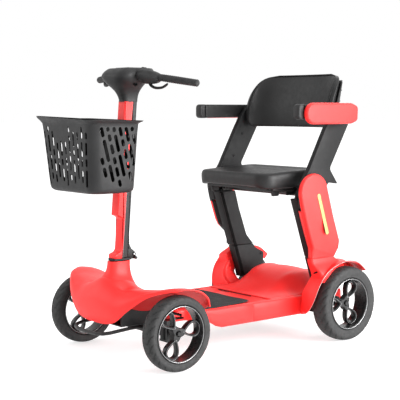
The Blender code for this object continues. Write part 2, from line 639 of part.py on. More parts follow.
def basket():
    """A lidless carrier that hooks on the tiller."""
    levels = ((0.5150, 0.108, -0.522, -0.408), (0.5220, 0.118, -0.530, -0.402),
              (0.6200, 0.132, -0.543, -0.396), (0.7050, 0.146, -0.553, -0.391),
              (0.7130, 0.157, -0.5645, -0.3830), (0.7160, 0.158, -0.5650, -0.3820))
    rings = []
    for height, half, front, rear in levels:
        outline = rounded([(-half, front), (half, front), (half, rear), (-half, rear)],
                          [0.036, 0.036, 0.026, 0.026], 4)
        rings.append([(p.x, p.y, height) for p in outline])
    thicken(add("basket", loft(rings, lid=False), (CHARCOAL, 0.6)), 0.0030)


# ---------------------------------------------------------------- wheels
def wheel(name, centre, tyre, spoke_turn):
    """A tyre on a rim with three open-loop spokes."""
    radius, width = tyre
    half, rim = width / 2, RIM_RADIUS
    tread = [(rim + GAP, -half * 0.84), (rim + GAP, half * 0.84), (radius - 0.015, half),
             (radius - 0.005, half * 0.86), (radius, half * 0.30), (radius, -half * 0.30),
             (radius - 0.005, -half * 0.86), (radius - 0.015, -half)]
    barrel = [(rim, -half * 0.80), (rim, half * 0.80), (rim - 0.004, half * 0.88),
              (rim - 0.007, half * 0.70), (rim - 0.007, -half * 0.80)]
    for side, tag in ((1, "left"), (-1, "right")):
        place = Vector((centre.x * side, centre.y, centre.z))
        rubber = turned(tread, 32)
        rubber.transform(Matrix.Translation(place))
        add(f"{name}_tyre_{tag}", rubber, (CHARCOAL, 0.8), place)
        ring = turned(barrel, 32)
        ring.transform(Matrix.Translation(place))
        hub = add(f"{name}_rim_{tag}", ring, (CHARCOAL, 0.35, 0.3), place)
        middle = half * 0.30 * side
        for k in range(3):
            outer = arc((0.063, 0.0), 0.0165, -90, 90, 6) + arc((0.010, 0.0), 0.0085, 110, 250, 2)
            inner = arc((0.063, 0.0), 0.0125, -90, 90, 4) + arc((0.024, 0.0), 0.0060, 110, 250, 2)
            loop = plate([outer, inner], middle - 0.007, middle + 0.007)
            turn = Matrix.Rotation(math.radians(spoke_turn + 120 * k), 4, "X")
            loop.transform(Matrix.Translation(place) @ turn)
            combine(hub, add(f"{name}_spoke_{tag}_{k}", loop, cutter=True), "UNION")
        for part, low, high, size, sides in (("boss", middle - 0.011, middle + 0.011, 0.0190, 16),
                                             ("bore", -0.050, 0.050, 0.0066, 12)):
            shape = rod(place + Vector((low, 0, 0)), place + Vector((high, 0, 0)), size, sides=sides)
            piece = add(f"{name}_{part}_{tag}", shape, cutter=True)
            combine(hub, piece, "UNION" if part == "boss" else "DIFFERENCE")


def knuckles():
    """Steering knuckles with their stub axles, and the rod that ties them together."""
    look = (BLACK, 0.5, 0.5)
    x, y = KINGPIN.x, KINGPIN.y
    inner, hollow, outer = x - 0.0110, x + 0.0180, x + 0.0245
    yoke = [(inner, 0.1350), (hollow, 0.1350), (hollow, 0.0850), (inner, 0.0850),
            (inner, 0.0790), (outer, 0.0790), (outer, 0.1410), (inner, 0.1410)]
    shape = plate([yoke], y - 0.011, y + 0.011, "XY")
    upright = Matrix(((1, 0, 0), (0, 0, -1), (0, 1, 0))).to_4x4()
    shape.transform(Matrix.Translation((0, y, 0)) @ upright @ Matrix.Translation((0, 0, -y)))
    parts = pair("knuckle", shape, look, KINGPIN)
    pin = rod((x, y, 0.0800), (x, y, 0.1400), 0.0058, sides=16)
    stub = rod((x + 0.0200, y, FRONT_AXLE.z), (0.2600, y, FRONT_AXLE.z), 0.0058, sides=16)
    arm = box((x - 0.006, y + 0.004, 0.1360), (x + 0.006, y + 0.0650, 0.1410))
    for thing, side in zip(parts, (1, -1)):
        for tag, data in (("pin", pin), ("stub", stub), ("arm", arm)):
            shape = data.copy() if side > 0 else mirrored(data)
            combine(thing, add(f"knuckle_{tag}{side}", shape, cutter=True), "UNION")
    bar = tube([(-x, y + 0.059, 0.1465), (x, y + 0.059, 0.1465)], 0.0045, sides=2)
    rod_shape = add("tie_rod", bar, look, (0, y + 0.059, 0.1465))
    tab = box((-0.012, -0.3260, 0.1430), (0.012, y + 0.061, 0.1500))
    combine(rod_shape, add("tie_rod_tab", tab, cutter=True), "UNION")


# ---------------------------------------------------------------- seat tower
def legs():
    """Red leg covers with their lights, and the dark struts inside them."""
    lean = math.degrees(math.atan2(SEAT_PIVOT.y - 0.2720, SEAT_PIVOT.z - 0.3000))
    top = arc((SEAT_PIVOT.y, SEAT_PIVOT.z), 0.0545, 180 - lean, -lean, 14)
    ring = rounded([(0.1985, 0.3470), (0.2165, 0.3060), (0.2110, 0.2900), (0.2130, 0.2705),
                    (0.3165, 0.2705), (0.3280, 0.3050), (0.3170, 0.3470)],
                   [0.0, 0.012, 0.012, 0, 0, 0.012, 0], 3)
    covers = pair("leg_cover", plate([ring + top[::-1]], *LEG_X), (RED, 0.3), LEG_PIVOT)
    a, b = Vector((0.2275, 0.4780)), Vector((0.2695, 0.3470))
    outward = (b - a).orthogonal().normalized()

    def strip(half, radius, low, high):
        across = outward * half
        corners = [a + across, a - across, b - across, b + across]
        return plate([rounded(corners, radius, 3)], low, high)

    slot = strip(0.0058, 0.0050, LEG_X[1] - 0.002, LEG_X[1] + 0.010)
    for thing, side in zip(covers, (1, -1)):
        bevel(thing, 0.005, 2, 60)
        cut = slot if side > 0 else mirrored(slot)
        combine(thing, add(f"light_slot{side}", cut, cutter=True))
    pair("light_strip", strip(0.0054, 0.0046, LEG_X[1] - 0.0017, LEG_X[1] + 0.0006),
         ((1.0, 0.86, 0.42), 0.3), LEG_PIVOT)

    strut = rounded([(0.1680, 0.4620), (0.2080, 0.3450), (0.2340, 0.2705), (0.3240, 0.2705),
                     (0.2950, 0.3050), (0.2600, 0.4000), (0.2420, 0.4620)],
                    [0.006, 0.02, 0, 0, 0.02, 0.02, 0.006], 4)
    pair("leg_strut", plate([strut], *STRUT_X), (BLACK, 0.5, 0.3), LEG_PIVOT)
    seam = LEG_PIVOT.z - GAP * 2
    bracket = rounded([(0.2345, seam), (0.2600, 0.1950), (0.2700, 0.1560), (0.3720, 0.1830),
                       (0.3780, 0.2360), (0.3390, 0.2550), (0.3250, seam)],
                      [0, 0.01, 0.01, 0.01, 0.012, 0.02, 0], 3)
    pair("foot_bracket", plate([bracket], STRUT_X[0], 0.2035), (BLACK, 0.5, 0.3))


def seat():
    """The seat pan with its cross tube, and the moulded seat on it."""
    pan = add("seat_pan", box((-0.1420, 0.0950, 0.4890), (0.1420, 0.2950, 0.4960)),
              (BLACK, 0.5, 0.4), SEAT_PIVOT)
    tube_shape = rod((-0.2060, SEAT_PIVOT.y, 0.4780), (0.2060, SEAT_PIVOT.y, 0.4780), 0.0120)
    combine(pan, add("seat_tube", tube_shape, cutter=True), "UNION")
    rings = []
    for height, grow, in_front in ((0.4965, -0.010, 0.012), (0.5020, 0.0, 0.002), (0.5330, 0.002, 0.0),
                                   (0.5430, -0.004, 0.003), (0.5460, -0.014, 0.010)):
        half = 0.1720 + grow
        outline = rounded([(-half, 0.0620 + in_front), (half, 0.0620 + in_front),
                           (half - 0.004, 0.318 + grow), (-half + 0.004, 0.318 + grow)],
                          [0.045, 0.045, 0.035, 0.035], 4)
        rings.append([(p.x, p.y, height) for p in outline])
    hollow = [(p[0] * 0.86, 0.190 + (p[1] - 0.190) * 0.84, 0.5380) for p in rings[-1]]
    rings.append(hollow)
    add("seat_cushion", loft(rings), (CHARCOAL, 0.6), SEAT_PIVOT)


PAD_WALL = 0.024


def backrest_line(height, pull, behind, steps=16):
    """A level line of the backrest's wrap, pulled in at its ends and set back along its normals."""
    half, wrap_depth, lean = 0.1955, 0.080, 0.20

    def at(u):
        s = math.sin(u * math.radians(84)) / math.sin(math.radians(84))
        return Vector((half * s, 0.306 + wrap_depth * (1 - abs(u) ** 2.4), 0.0))

    line = []
    for k in range(steps + 1):
        u = (-1 + 2 * k / steps) * (1 - pull / half)
        along = (at(min(u + 0.01, 1.0)) - at(max(u - 0.01, -1.0))).normalized()
        normal = Vector((-along.y, along.x, 0.0))
        line.append(at(u) + normal * behind + Vector((0.0, lean * (height - 0.700), height)))
    return line


def backrest():
    """Side plates that swing on the legs, and the curved backrest between them."""
    plate_outline = rounded([(0.2050, 0.5560), (0.2730, 0.6800), (0.2960, 0.7180), (0.3230, 0.7480),
                             (0.3670, 0.7480), (0.3920, 0.7180), (0.3790, 0.6957), (0.2960, 0.5540),
                             (0.3330, 0.5045), (0.2900, 0.5105), (0.2700, 0.4750), (0.2430, 0.4360),
                             (0.1760, 0.4290), (0.1640, 0.4950)],
                            [0.01, 0, 0.004, 0.02, 0.02, 0.004, 0, 0.012, 0.002, 0.010, 0, 0.02,
                             0.012, 0.02], 3)
    pair("side_arm", plate([plate_outline], 0.2085, 0.2255), (CHARCOAL, 0.5, 0.2), SEAT_PIVOT)

    pad = [backrest_line(height, pull, 0.0) for height, pull in (
        (0.685, 0.030), (0.700, 0.010), (0.735, 0.0), (0.780, 0.004), (0.820, 0.020), (0.845, 0.045),
        (0.856, 0.080))]
    skin = loft(pad, closed=False)
    thicken(add("backrest_pad", skin, (CHARCOAL, 0.6), SEAT_PIVOT), PAD_WALL, 0.0)
    back = [backrest_line(height, pull, PAD_WALL / 2 + 0.0065) for height, pull in (
        (0.700, 0.034), (0.760, 0.021), (0.815, 0.032), (0.838, 0.058))]
    skin = loft(back, closed=False)
    thicken(add("backrest_shell", skin, (BLACK, 0.5), SEAT_PIVOT), 0.004, 0.0)


def armrests():
    """Flip-up armrests: a dark pad core inside a red cover."""
    core = rounded([(0.142, 0.7130), (0.362, 0.7130), (0.362, 0.7590), (0.142, 0.7590)],
                   [0.014, 0.012, 0.012, 0.014], 4)
    cores = pair("armrest", plate([core], 0.2290, 0.2550), (BLACK, 0.55), ARMREST_PIVOT)
    for thing in cores:
        bevel(thing, 0.004, 2, 60)
    cover = rounded([(0.146, 0.6975), (0.350, 0.6975), (0.376, 0.7080), (0.378, 0.7500),
                     (0.350, 0.7635), (0.146, 0.7635)], [0.028, 0.02, 0.016, 0.016, 0.02, 0.028], 4)
    covers = pair("armrest_cover", plate([cover], 0.2553, 0.2740), (RED, 0.28), ARMREST_PIVOT)
    for thing in covers:
        bevel(thing, 0.005, 2, 60)


chassis()
bumper_bar()
fairing()
deck()
rear_body()
fenders()
steering()
tiller()
control_head()
basket()
knuckles()
wheel("front", FRONT_AXLE, FRONT_TYRE, 25)
wheel("rear", REAR_AXLE, REAR_TYRE, -20)
legs()
seat()
backrest()
armrests()
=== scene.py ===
"""Looks for the mobility scooter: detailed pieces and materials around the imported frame.

Metres, +Z up, the rider faces -Y and +X is the rider's left.  Points are given in the scooter's
own frame, whose origin is on the ground midway between the axles, and SHIFT moves them to the
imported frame.
"""

from math import copysign, cos, exp, hypot, pi, radians, sin, sqrt, tan

import bmesh
import bpy
from mathutils import Matrix, Vector


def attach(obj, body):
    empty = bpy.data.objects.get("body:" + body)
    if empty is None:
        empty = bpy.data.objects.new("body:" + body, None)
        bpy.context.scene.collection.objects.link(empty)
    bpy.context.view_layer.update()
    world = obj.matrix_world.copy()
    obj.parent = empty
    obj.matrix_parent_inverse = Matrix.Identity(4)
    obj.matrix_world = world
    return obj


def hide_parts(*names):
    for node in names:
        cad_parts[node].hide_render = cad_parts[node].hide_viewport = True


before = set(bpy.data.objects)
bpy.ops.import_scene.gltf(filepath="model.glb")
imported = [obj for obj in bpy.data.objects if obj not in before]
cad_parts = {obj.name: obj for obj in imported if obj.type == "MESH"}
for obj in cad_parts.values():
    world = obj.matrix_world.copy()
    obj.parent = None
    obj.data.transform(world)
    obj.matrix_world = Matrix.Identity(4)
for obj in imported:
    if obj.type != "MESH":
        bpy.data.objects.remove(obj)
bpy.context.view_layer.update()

SHIFT = Vector((0.0, 0.054, 0.0))
FRONT_AXLE = Vector((0.2465, -0.337, 0.11))
REAR_AXLE = Vector((0.2547, 0.337, 0.12))
TILT_PIVOT = Vector((0.0, -0.3215, 0.3115))
SIDES = ((1, "left"), (-1, "right"))


# ---------------------------------------------------------------- materials
class Nodes:
    """A short way to wire a procedural material."""

    def __init__(self, name):
        self.material = bpy.data.materials.new(name)
        self.material.use_nodes = True
        self.tree = self.material.node_tree
        self.shader = self.tree.nodes["Principled BSDF"]

    def new(self, kind, **values):
        """A node with its inputs, or else its settings, given by name."""
        node = self.tree.nodes.new(kind)
        for key, value in values.items():
            if key in node.inputs:
                node.inputs[key].default_value = value
            else:
                setattr(node, key, value)
        return node

    def link(self, start, end):
        self.tree.links.new(start, end)

    def put(self, name, value):
        """Feeds an input of the shader: a socket is linked and a value is set."""
        if isinstance(value, bpy.types.NodeSocket):
            self.link(value, self.shader.inputs[name])
        else:
            self.shader.inputs[name].default_value = value

    def noise(self, scale, detail=3.0, roughness=0.5, stretch=None):
        """Noise over the object's own coordinates, in metres."""
        place = self.new("ShaderNodeTexCoord").outputs["Object"]
        if stretch:
            mapping = self.new("ShaderNodeMapping")
            mapping.inputs["Scale"].default_value = stretch
            self.link(place, mapping.inputs["Vector"])
            place = mapping.outputs["Vector"]
        made = self.new("ShaderNodeTexNoise", Scale=scale, Detail=detail, Roughness=roughness)
        self.link(place, made.inputs["Vector"])
        return made.outputs["Fac"]

    def ramp(self, source, low, high, start=0.35, end=0.65):
        """Source spread between two colours."""
        made = self.new("ShaderNodeValToRGB")
        first, last = made.color_ramp.elements
        first.position, first.color = start, (*low, 1.0)
        last.position, last.color = end, (*high, 1.0)
        self.link(source, made.inputs["Fac"])
        return made.outputs["Color"]

    def cells(self, scale, feature="F1"):
        """Distances in a pattern of cells over the object's own coordinates."""
        made = self.new("ShaderNodeTexVoronoi", Scale=scale, feature=feature)
        self.link(self.new("ShaderNodeTexCoord").outputs["Object"], made.inputs["Vector"])
        return made.outputs["Distance"]

    def spread(self, source, low, high, start=0.3, end=0.7):
        """Source spread between two numbers."""
        made = self.new("ShaderNodeMapRange", **{"From Min": start, "From Max": end,
                                                 "To Min": low, "To Max": high})
        self.link(source, made.inputs["Value"])
        return made.outputs["Result"]

    def bump(self, source, strength, distance, under=None):
        """Normals raised by source, on top of the normals under it."""
        made = self.new("ShaderNodeBump", Strength=strength, Distance=distance)
        self.link(source, made.inputs["Height"])
        if under:
            self.link(under, made.inputs["Normal"])
        return made.outputs["Normal"]


def moulded_nodes(name, low, high, rough, grain_scale, grain_depth, coat=0.0, speckle=0.0, shine=0.22):
    """Moulded plastic: a slow drift of colour, a fine grain and a patchy sheen."""
    n = Nodes(name)
    n.put("Base Color", n.ramp(n.noise(9.0, 4.0), low, high))
    n.put("Roughness", n.spread(n.noise(60.0, 4.0, 0.6), rough[0], rough[1]))
    grain = n.bump(n.noise(grain_scale, 2.0, 0.55), 0.5, grain_depth)
    if speckle:
        grain = n.bump(n.noise(160.0, 3.0, 0.7), 0.25, speckle, grain)
    n.put("Normal", grain)
    n.put("Coat Weight", coat)
    n.put("Coat Roughness", 0.22)
    n.put("Specular IOR Level", shine)
    return n


def moulded(*values, **named):
    """The material of moulded_nodes."""
    return moulded_nodes(*values, **named).material


def metal(name, low, high, rough, stretch=(1.0, 1.0, 1.0), depth=0.00004):
    """Bare or coated metal with a drawn grain and small patches of wear."""
    n = Nodes(name)
    n.put("Base Color", n.ramp(n.noise(30.0, 5.0, 0.6), low, high))
    drawn = n.noise(420.0, 3.0, 0.6, stretch)
    n.put("Roughness", n.spread(drawn, rough[0], rough[1]))
    n.put("Normal", n.bump(drawn, 0.3, depth))
    n.put("Metallic", 0.85)
    return n.material


def coated(name, low, high, rough):
    """Powder-coated metal with its orange peel."""
    return moulded(name, low, high, rough, 900.0, 0.0001, coat=0.15)


def basket_plastic_painted_shade():
    """Moulded plastic with painted shade: near black, with less sheen, on the inside of the carrier."""
    n = moulded_nodes("basket_plastic_painted_shade", (0.015, 0.015, 0.0155), (0.021, 0.021, 0.0215), (0.42, 0.56),
                      1000.0, 0.00014, speckle=0.0001)
    drift = n.shader.inputs["Base Color"].links[0].from_socket
    place = n.new("ShaderNodeTexCoord")
    away, level, facing = (n.new("ShaderNodeVectorMath", operation=kind)
                           for kind in ("SUBTRACT", "MULTIPLY", "DOT_PRODUCT"))
    away.inputs[1].default_value = (0.0, -0.413, 0.0)
    level.inputs[1].default_value = (1.0, 1.0, 0.0)
    n.link(place.outputs["Object"], away.inputs[0])
    n.link(away.outputs["Vector"], level.inputs[0])
    n.link(level.outputs["Vector"], facing.inputs[0])
    n.link(place.outputs["Normal"], facing.inputs[1])
    # painted shade: faces that turn in towards the carrier's middle are mixed to near black
    inside_shade_mix = n.new("ShaderNodeMix", data_type="RGBA")
    n.link(n.spread(facing.outputs["Value"], 0.0, 1.0, -0.02, 0.0), inside_shade_mix.inputs[0])
    inside_shade_mix.inputs[6].default_value = (0.002, 0.002, 0.002, 1.0)
    n.link(drift, inside_shade_mix.inputs[7])
    n.put("Base Color", inside_shade_mix.outputs[2])
    n.put("Specular IOR Level", n.spread(facing.outputs["Value"], 0.02, 0.22, -0.02, 0.0))
    return n.material


def tyre_rubber():
    """Dusty black rubber, paler where it has scuffed."""
    n = Nodes("tyre_rubber")
    n.put("Base Color", n.ramp(n.noise(22.0, 6.0, 0.65), (0.01, 0.01, 0.0103), (0.018, 0.018, 0.018)))
    n.put("Roughness", n.spread(n.noise(120.0, 4.0, 0.7), 0.62, 0.86))
    fine = n.bump(n.noise(1400.0, 2.0), 0.4, 0.00012)
    n.put("Normal", n.bump(n.noise(240.0, 4.0, 0.7), 0.3, 0.0002, fine))
    return n.material


def seat_skin():
    """Moulded soft skin with a fine leather grain."""
    n = Nodes("seat_skin")
    n.put("Base Color", n.ramp(n.noise(14.0, 4.0), (0.008, 0.008, 0.0082), (0.012, 0.012, 0.0122)))
    n.put("Roughness", n.spread(n.noise(80.0, 4.0), 0.4, 0.54))
    pores = n.bump(n.cells(620.0), 0.35, 0.00016)
    n.put("Normal", n.bump(n.noise(90.0, 5.0, 0.6), 0.25, 0.0003, pores))
    n.put("Specular IOR Level", 0.3)
    return n.material


def knurled():
    """Grip rubber: a fine diamond pattern over a soft sheen."""
    n = Nodes("grip_rubber")
    n.put("Base Color", n.ramp(n.noise(40.0, 4.0), (0.008, 0.008, 0.0085), (0.014, 0.014, 0.0145)))
    n.put("Normal", n.bump(n.cells(380.0, "DISTANCE_TO_EDGE"), 0.8, 0.0005))
    n.put("Roughness", n.spread(n.noise(90.0, 3.0), 0.6, 0.82))
    return n.material


def lamp():
    """Milky light guide with a faint glow."""
    n = Nodes("light_guide")
    n.put("Base Color", n.ramp(n.noise(45.0, 2.0), (0.4, 0.29, 0.095), (0.44, 0.33, 0.12)))
    n.put("Roughness", n.spread(n.noise(300.0, 2.0), 0.3, 0.42))
    n.put("Emission Color", (1.0, 0.8, 0.38, 1.0))
    n.put("Emission Strength", 0.1)
    n.put("Specular IOR Level", 0.2)
    return n.material


RED = moulded("red_shell", (0.88, 0.026, 0.025), (0.92, 0.031, 0.029), (0.36, 0.44),
              1100.0, 0.00005, shine=0.2)
# A darker copy of the red: painted shade for the liners deep in the front arches.
SHADED_RED = moulded("red_liner", (0.42, 0.014, 0.014), (0.52, 0.02, 0.019), (0.5, 0.62),
                   800.0, 0.00012)
CHARCOAL = moulded("charcoal_plastic", (0.015, 0.015, 0.0155), (0.021, 0.021, 0.0215),
                   (0.42, 0.56), 1000.0, 0.00014, speckle=0.0001)
BLACK = moulded("black_plastic", (0.005, 0.005, 0.0052), (0.009, 0.009, 0.0092), (0.42, 0.56),
                1000.0, 0.00014, speckle=0.00008)
GREY = moulded("grey_plastic", (0.008, 0.008, 0.0083), (0.011, 0.011, 0.0113), (0.46, 0.58),
               1000.0, 0.00014, shine=0.16)
GLOSS = moulded("gloss_black", (0.01, 0.01, 0.011), (0.014, 0.014, 0.015), (0.08, 0.14),
                500.0, 0.00001, coat=0.6)
RIBBED = moulded("mat_rubber", (0.016, 0.015, 0.015), (0.026, 0.025, 0.025), (0.6, 0.8),
                 1300.0, 0.00016, speckle=0.00012, shine=0.4)
FRAME = coated("frame_coat", (0.008, 0.008, 0.0085), (0.014, 0.014, 0.0145), (0.36, 0.52))
RIM = coated("rim_coat", (0.012, 0.012, 0.0125), (0.02, 0.02, 0.0205), (0.22, 0.34))
# Pale grey lines along edges: painted highlights on the wheel covers' edges, the tiller's edges, the rims'
# lips and the spokes' outlines.
EDGE_HIGHLIGHT = metal("painted_edge_highlight", (0.26, 0.26, 0.265), (0.36, 0.36, 0.365), (0.3, 0.42))
STEEL = metal("brushed_steel", (0.36, 0.36, 0.37), (0.52, 0.52, 0.53), (0.26, 0.44),
              (1.0, 1.0, 0.06))
# Near black for slots, grooves and a socket: painted shade where the real parts are only openings and
# recesses.
HOLE_SHADE = moulded("hollow_black", (0.0024, 0.0024, 0.0024), (0.0036, 0.0036, 0.0036), (0.7, 0.85),
                 600.0, 0.0001, shine=0.06)
# the basket's plastic, with painted shade inside the carrier
BASKET_PAINTED_SHADE = basket_plastic_painted_shade()
TYRE = tyre_rubber()
SKIN = seat_skin()
GRIP = knurled()
LIGHT = lamp()


# ---------------------------------------------------------------- shapes
def mesh_from(bm, smooth=40):
    """A mesh from a bmesh in the scooter's own frame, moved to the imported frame."""
    bmesh.ops.recalc_face_normals(bm, faces=bm.faces)
    data = bpy.data.meshes.new("shape")
    bm.to_mesh(data)
    bm.free()
    data.transform(Matrix.Translation(SHIFT))
    data.shade_smooth()
    if smooth:
        data.set_sharp_from_angle(angle=radians(smooth))
    return data


def piece(name, shape, body, look, nodes=(), sharp=40):
    """A visible piece on a body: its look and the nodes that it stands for."""
    data = mesh_from(shape, sharp) if isinstance(shape, bmesh.types.BMesh) else shape
    made = bpy.data.objects.new(name, data)
    bpy.context.scene.collection.objects.link(made)
    made.data.materials.clear()
    made.data.materials.append(look)
    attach(made, body)
    if nodes:
        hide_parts(*nodes)
    return made


def flipped(data):
    """The mirror image of a mesh across the middle plane."""
    bm = bmesh.new()
    bm.from_mesh(data)
    bmesh.ops.scale(bm, vec=(-1, 1, 1), verts=bm.verts)
    bmesh.ops.reverse_faces(bm, faces=bm.faces)
    made = data.copy()
    bm.to_mesh(made)
    bm.free()
    return made


def both(name, shape, body, look, nodes=(), sharp=40):
    """The left piece and its mirror image; {} in a name becomes the side."""
    data = mesh_from(shape, sharp)
    return [piece(name.format(tag), data if side > 0 else flipped(data), body.format(tag), look,
                  [n.format(tag) for n in nodes]) for side, tag in SIDES]


def cubic(keys, t):
    """A smooth value at t through (t, value) keys; values are numbers or vectors."""
    keys = [(k, Vector(v) if hasattr(v, "__len__") else v) for k, v in keys]
    if t <= keys[0][0]:
        return keys[0][1]
    if t >= keys[-1][0]:
        return keys[-1][1]
    i = max(n for n in range(len(keys) - 1) if keys[n][0] <= t)

    def slope(n):
        a, b = max(n - 1, 0), min(n + 1, len(keys) - 1)
        return (keys[b][1] - keys[a][1]) * (1 / (keys[b][0] - keys[a][0]))

    (t0, a), (t1, b) = keys[i], keys[i + 1]
    h = t1 - t0
    u = (t - t0) / h
    return (a * (2 * u**3 - 3 * u**2 + 1) + slope(i) * (h * (u**3 - 2 * u**2 + u))
            + b * (3 * u**2 - 2 * u**3) + slope(i + 1) * (h * (u**3 - u**2)))


def evenly(low, high, count):
    """Count values from low to high."""
    return [low + (high - low) * k / (count - 1) for k in range(count)]


def turns(count):
    """Count angles round a circle."""
    return [2 * pi * k / count for k in range(count)]


def ease(t, low=0.0, high=1.0):
    """A smooth step from 0 at low to 1 at high."""
    u = max(0.0, min(1.0, (t - low) / (high - low)))
    return u * u * (3 - 2 * u)


def hill(distance, width):
    """A bell that is 1 at no distance."""
    return exp(-(distance / width) ** 2)


def skin(rows, round_=False, caps=False):
    """A quad skin over rows of points; round_ closes each row, caps fills the end rows."""
    bm = bmesh.new()
    grid = [[bm.verts.new(p) for p in row] for row in rows]
    count = len(rows[0])
    for here, there in zip(grid, grid[1:]):
        for i in range(count if round_ else count - 1):
            j = (i + 1) % count
            bm.faces.new((here[i], here[j], there[j], there[i]))
    if caps:
        bm.faces.new(grid[0])
        bm.faces.new(list(reversed(grid[-1])))
    bmesh.ops.remove_doubles(bm, verts=bm.verts, dist=0.000005)
    return bm


def wall(made, thickness, offset=-1.0, edge=0.0):
    """Gives an open surface a wall, with its rim rounded."""
    mod = made.modifiers.new("wall", "SOLIDIFY")
    mod.thickness = thickness
    mod.offset = offset
    mod.use_even_offset = True
    if edge:
        soften(made, edge)


def soften(made, width, segments=2, angle=50):
    """Rounds the sharp edges."""
    mod = made.modifiers.new("edges", "BEVEL")
    mod.width = width
    mod.segments = segments
    mod.limit_method = "ANGLE"
    mod.angle_limit = radians(angle)
    mod.harden_normals = False


def rounded(points, radii, steps=5):
    """A closed outline with its corners turned into arcs."""
    if not isinstance(radii, (list, tuple)):
        radii = [radii] * len(points)
    corners = [Vector(p) for p in points]
    outline = []
    for i, (corner, radius) in enumerate(zip(corners, radii)):
        back = (corners[i - 1] - corner).normalized()
        ahead = (corners[(i + 1) % len(corners)] - corner).normalized()
        half = back.angle(ahead) / 2
        if radius <= 0 or half > radians(88):
            outline.append(corner)
            continue
        centre = corner + (back + ahead).normalized() * (radius / sin(half))
        first = corner + back * (radius / tan(half)) - centre
        sweep = first.angle_signed(corner + ahead * (radius / tan(half)) - centre)
        for k in range(steps + 1):
            outline.append(centre + Matrix.Rotation(-sweep * k / steps, 2) @ first)
    return outline


def inset(outline, amount):
    """The outline shifted inwards along its own normals; it runs anticlockwise or clockwise."""
    area = sum(a.x * b.y - b.x * a.y for a, b in zip(outline, outline[1:] + outline[:1]))
    turn = 1.0 if area > 0 else -1.0
    shifted = []
    for i, p in enumerate(outline):
        a, b = outline[i - 1], outline[(i + 1) % len(outline)]
        along = (b - a).normalized()
        shifted.append(p + Vector((-along.y, along.x)) * amount * turn)
    return shifted


def slab(outline, low, high, edge=0.0, steps=3, axis="X"):
    """An outline made thick along an axis, both rims rounded by edge."""
    ladder = [(low + edge * (1 - cos(pi / 2 * k / steps)),
               edge * (1 - sin(pi / 2 * k / steps))) for k in range(steps + 1)]
    ladder += [(high - (at - low), pull) for at, pull in reversed(ladder)]
    rows = []
    for at, pull in ladder:
        ring = inset(outline, pull) if edge else outline
        rows.append([(at, p.x, p.y) if axis == "X" else (p.x, p.y, at) for p in ring])
    return skin(rows, round_=True, caps=True)


def plate(points, radii, low, high, edge, corner_steps=5, axis="X"):
    """A flat plate across an axis, from its corners."""
    return slab(rounded(points, radii, corner_steps), low, high, edge, axis=axis)


def bar(points, radius, sides=10, squash=1.0, closed=False):
    """A round bar along points; radius is one number or one for each point."""
    points = [Vector(p) for p in points]
    radii = radius if isinstance(radius, (list, tuple)) else [radius] * len(points)
    rows, side = [], None
    for i, p in enumerate(points):
        ahead = points[(i + 1) % len(points)] if closed or i + 1 < len(points) else p
        behind = points[i - 1] if closed or i else p
        along = (ahead - behind).normalized()
        if side is None:
            side = along.cross(Vector((0, 0, 1)))
            side = side if side.length > 0.1 else along.cross(Vector((1, 0, 0)))
        side = (side - along * side.dot(along)).normalized()
        up = along.cross(side)
        rows.append([p + (side * cos(a) + up * sin(a) * squash) * radii[i] for a in turns(sides)])
    if closed:
        rows.append(rows[0])
    return skin(rows, round_=True, caps=not closed)


def at_height(table, z):
    """The values of a table of rows (height, values...) at a height."""
    return cubic([(row[0], row[1:]) for row in table], z)


def along_points(points, t):
    """The place at t, from 0 to 1, on a smooth curve through points."""
    return cubic([(n / (len(points) - 1), p) for n, p in enumerate(points)], t)


def smooth_path(points, count):
    """Many points on a smooth curve through a few."""
    return [along_points(points, t) for t in evenly(0.0, 1.0, count)]


def joined(*parts):
    """Several bmeshes as one."""
    whole = bmesh.new()
    for part in parts:
        data = bpy.data.meshes.new("part")
        part.to_mesh(data)
        part.free()
        whole.from_mesh(data)
        bpy.data.meshes.remove(data)
    return whole


def moved(bm, matrix):
    """The bmesh put through a matrix."""
    bmesh.ops.transform(bm, matrix=matrix, verts=bm.verts)
    return bm


def turned(at, profile, sides):
    """A solid turned about X at a place, from (x, radius) points."""
    rows = [[(at[0] + d, at[1] + r * cos(a), at[2] + r * sin(a)) for a in turns(sides)] for d, r in profile]
    return skin(rows, round_=True, caps=True)


def squarish(half_x, half_y, power, count):
    """A level ring between a circle and a square, about the origin; power is 1 for a circle."""
    return [(half_x * copysign(abs(cos(a)) ** power, cos(a)), half_y * copysign(abs(sin(a)) ** power, sin(a)))
            for a in turns(count)]


def screw_head(at, radius, facing):
    """A button head with a round socket, facing along X."""
    profile = [(0.0, radius), (0.0012, radius), (0.0022, radius * 0.86), (0.0027, radius * 0.52),
               (0.0012, radius * 0.46), (0.001, 0.00002)]
    return turned(at, [(facing * d, r) for d, r in profile], 18)


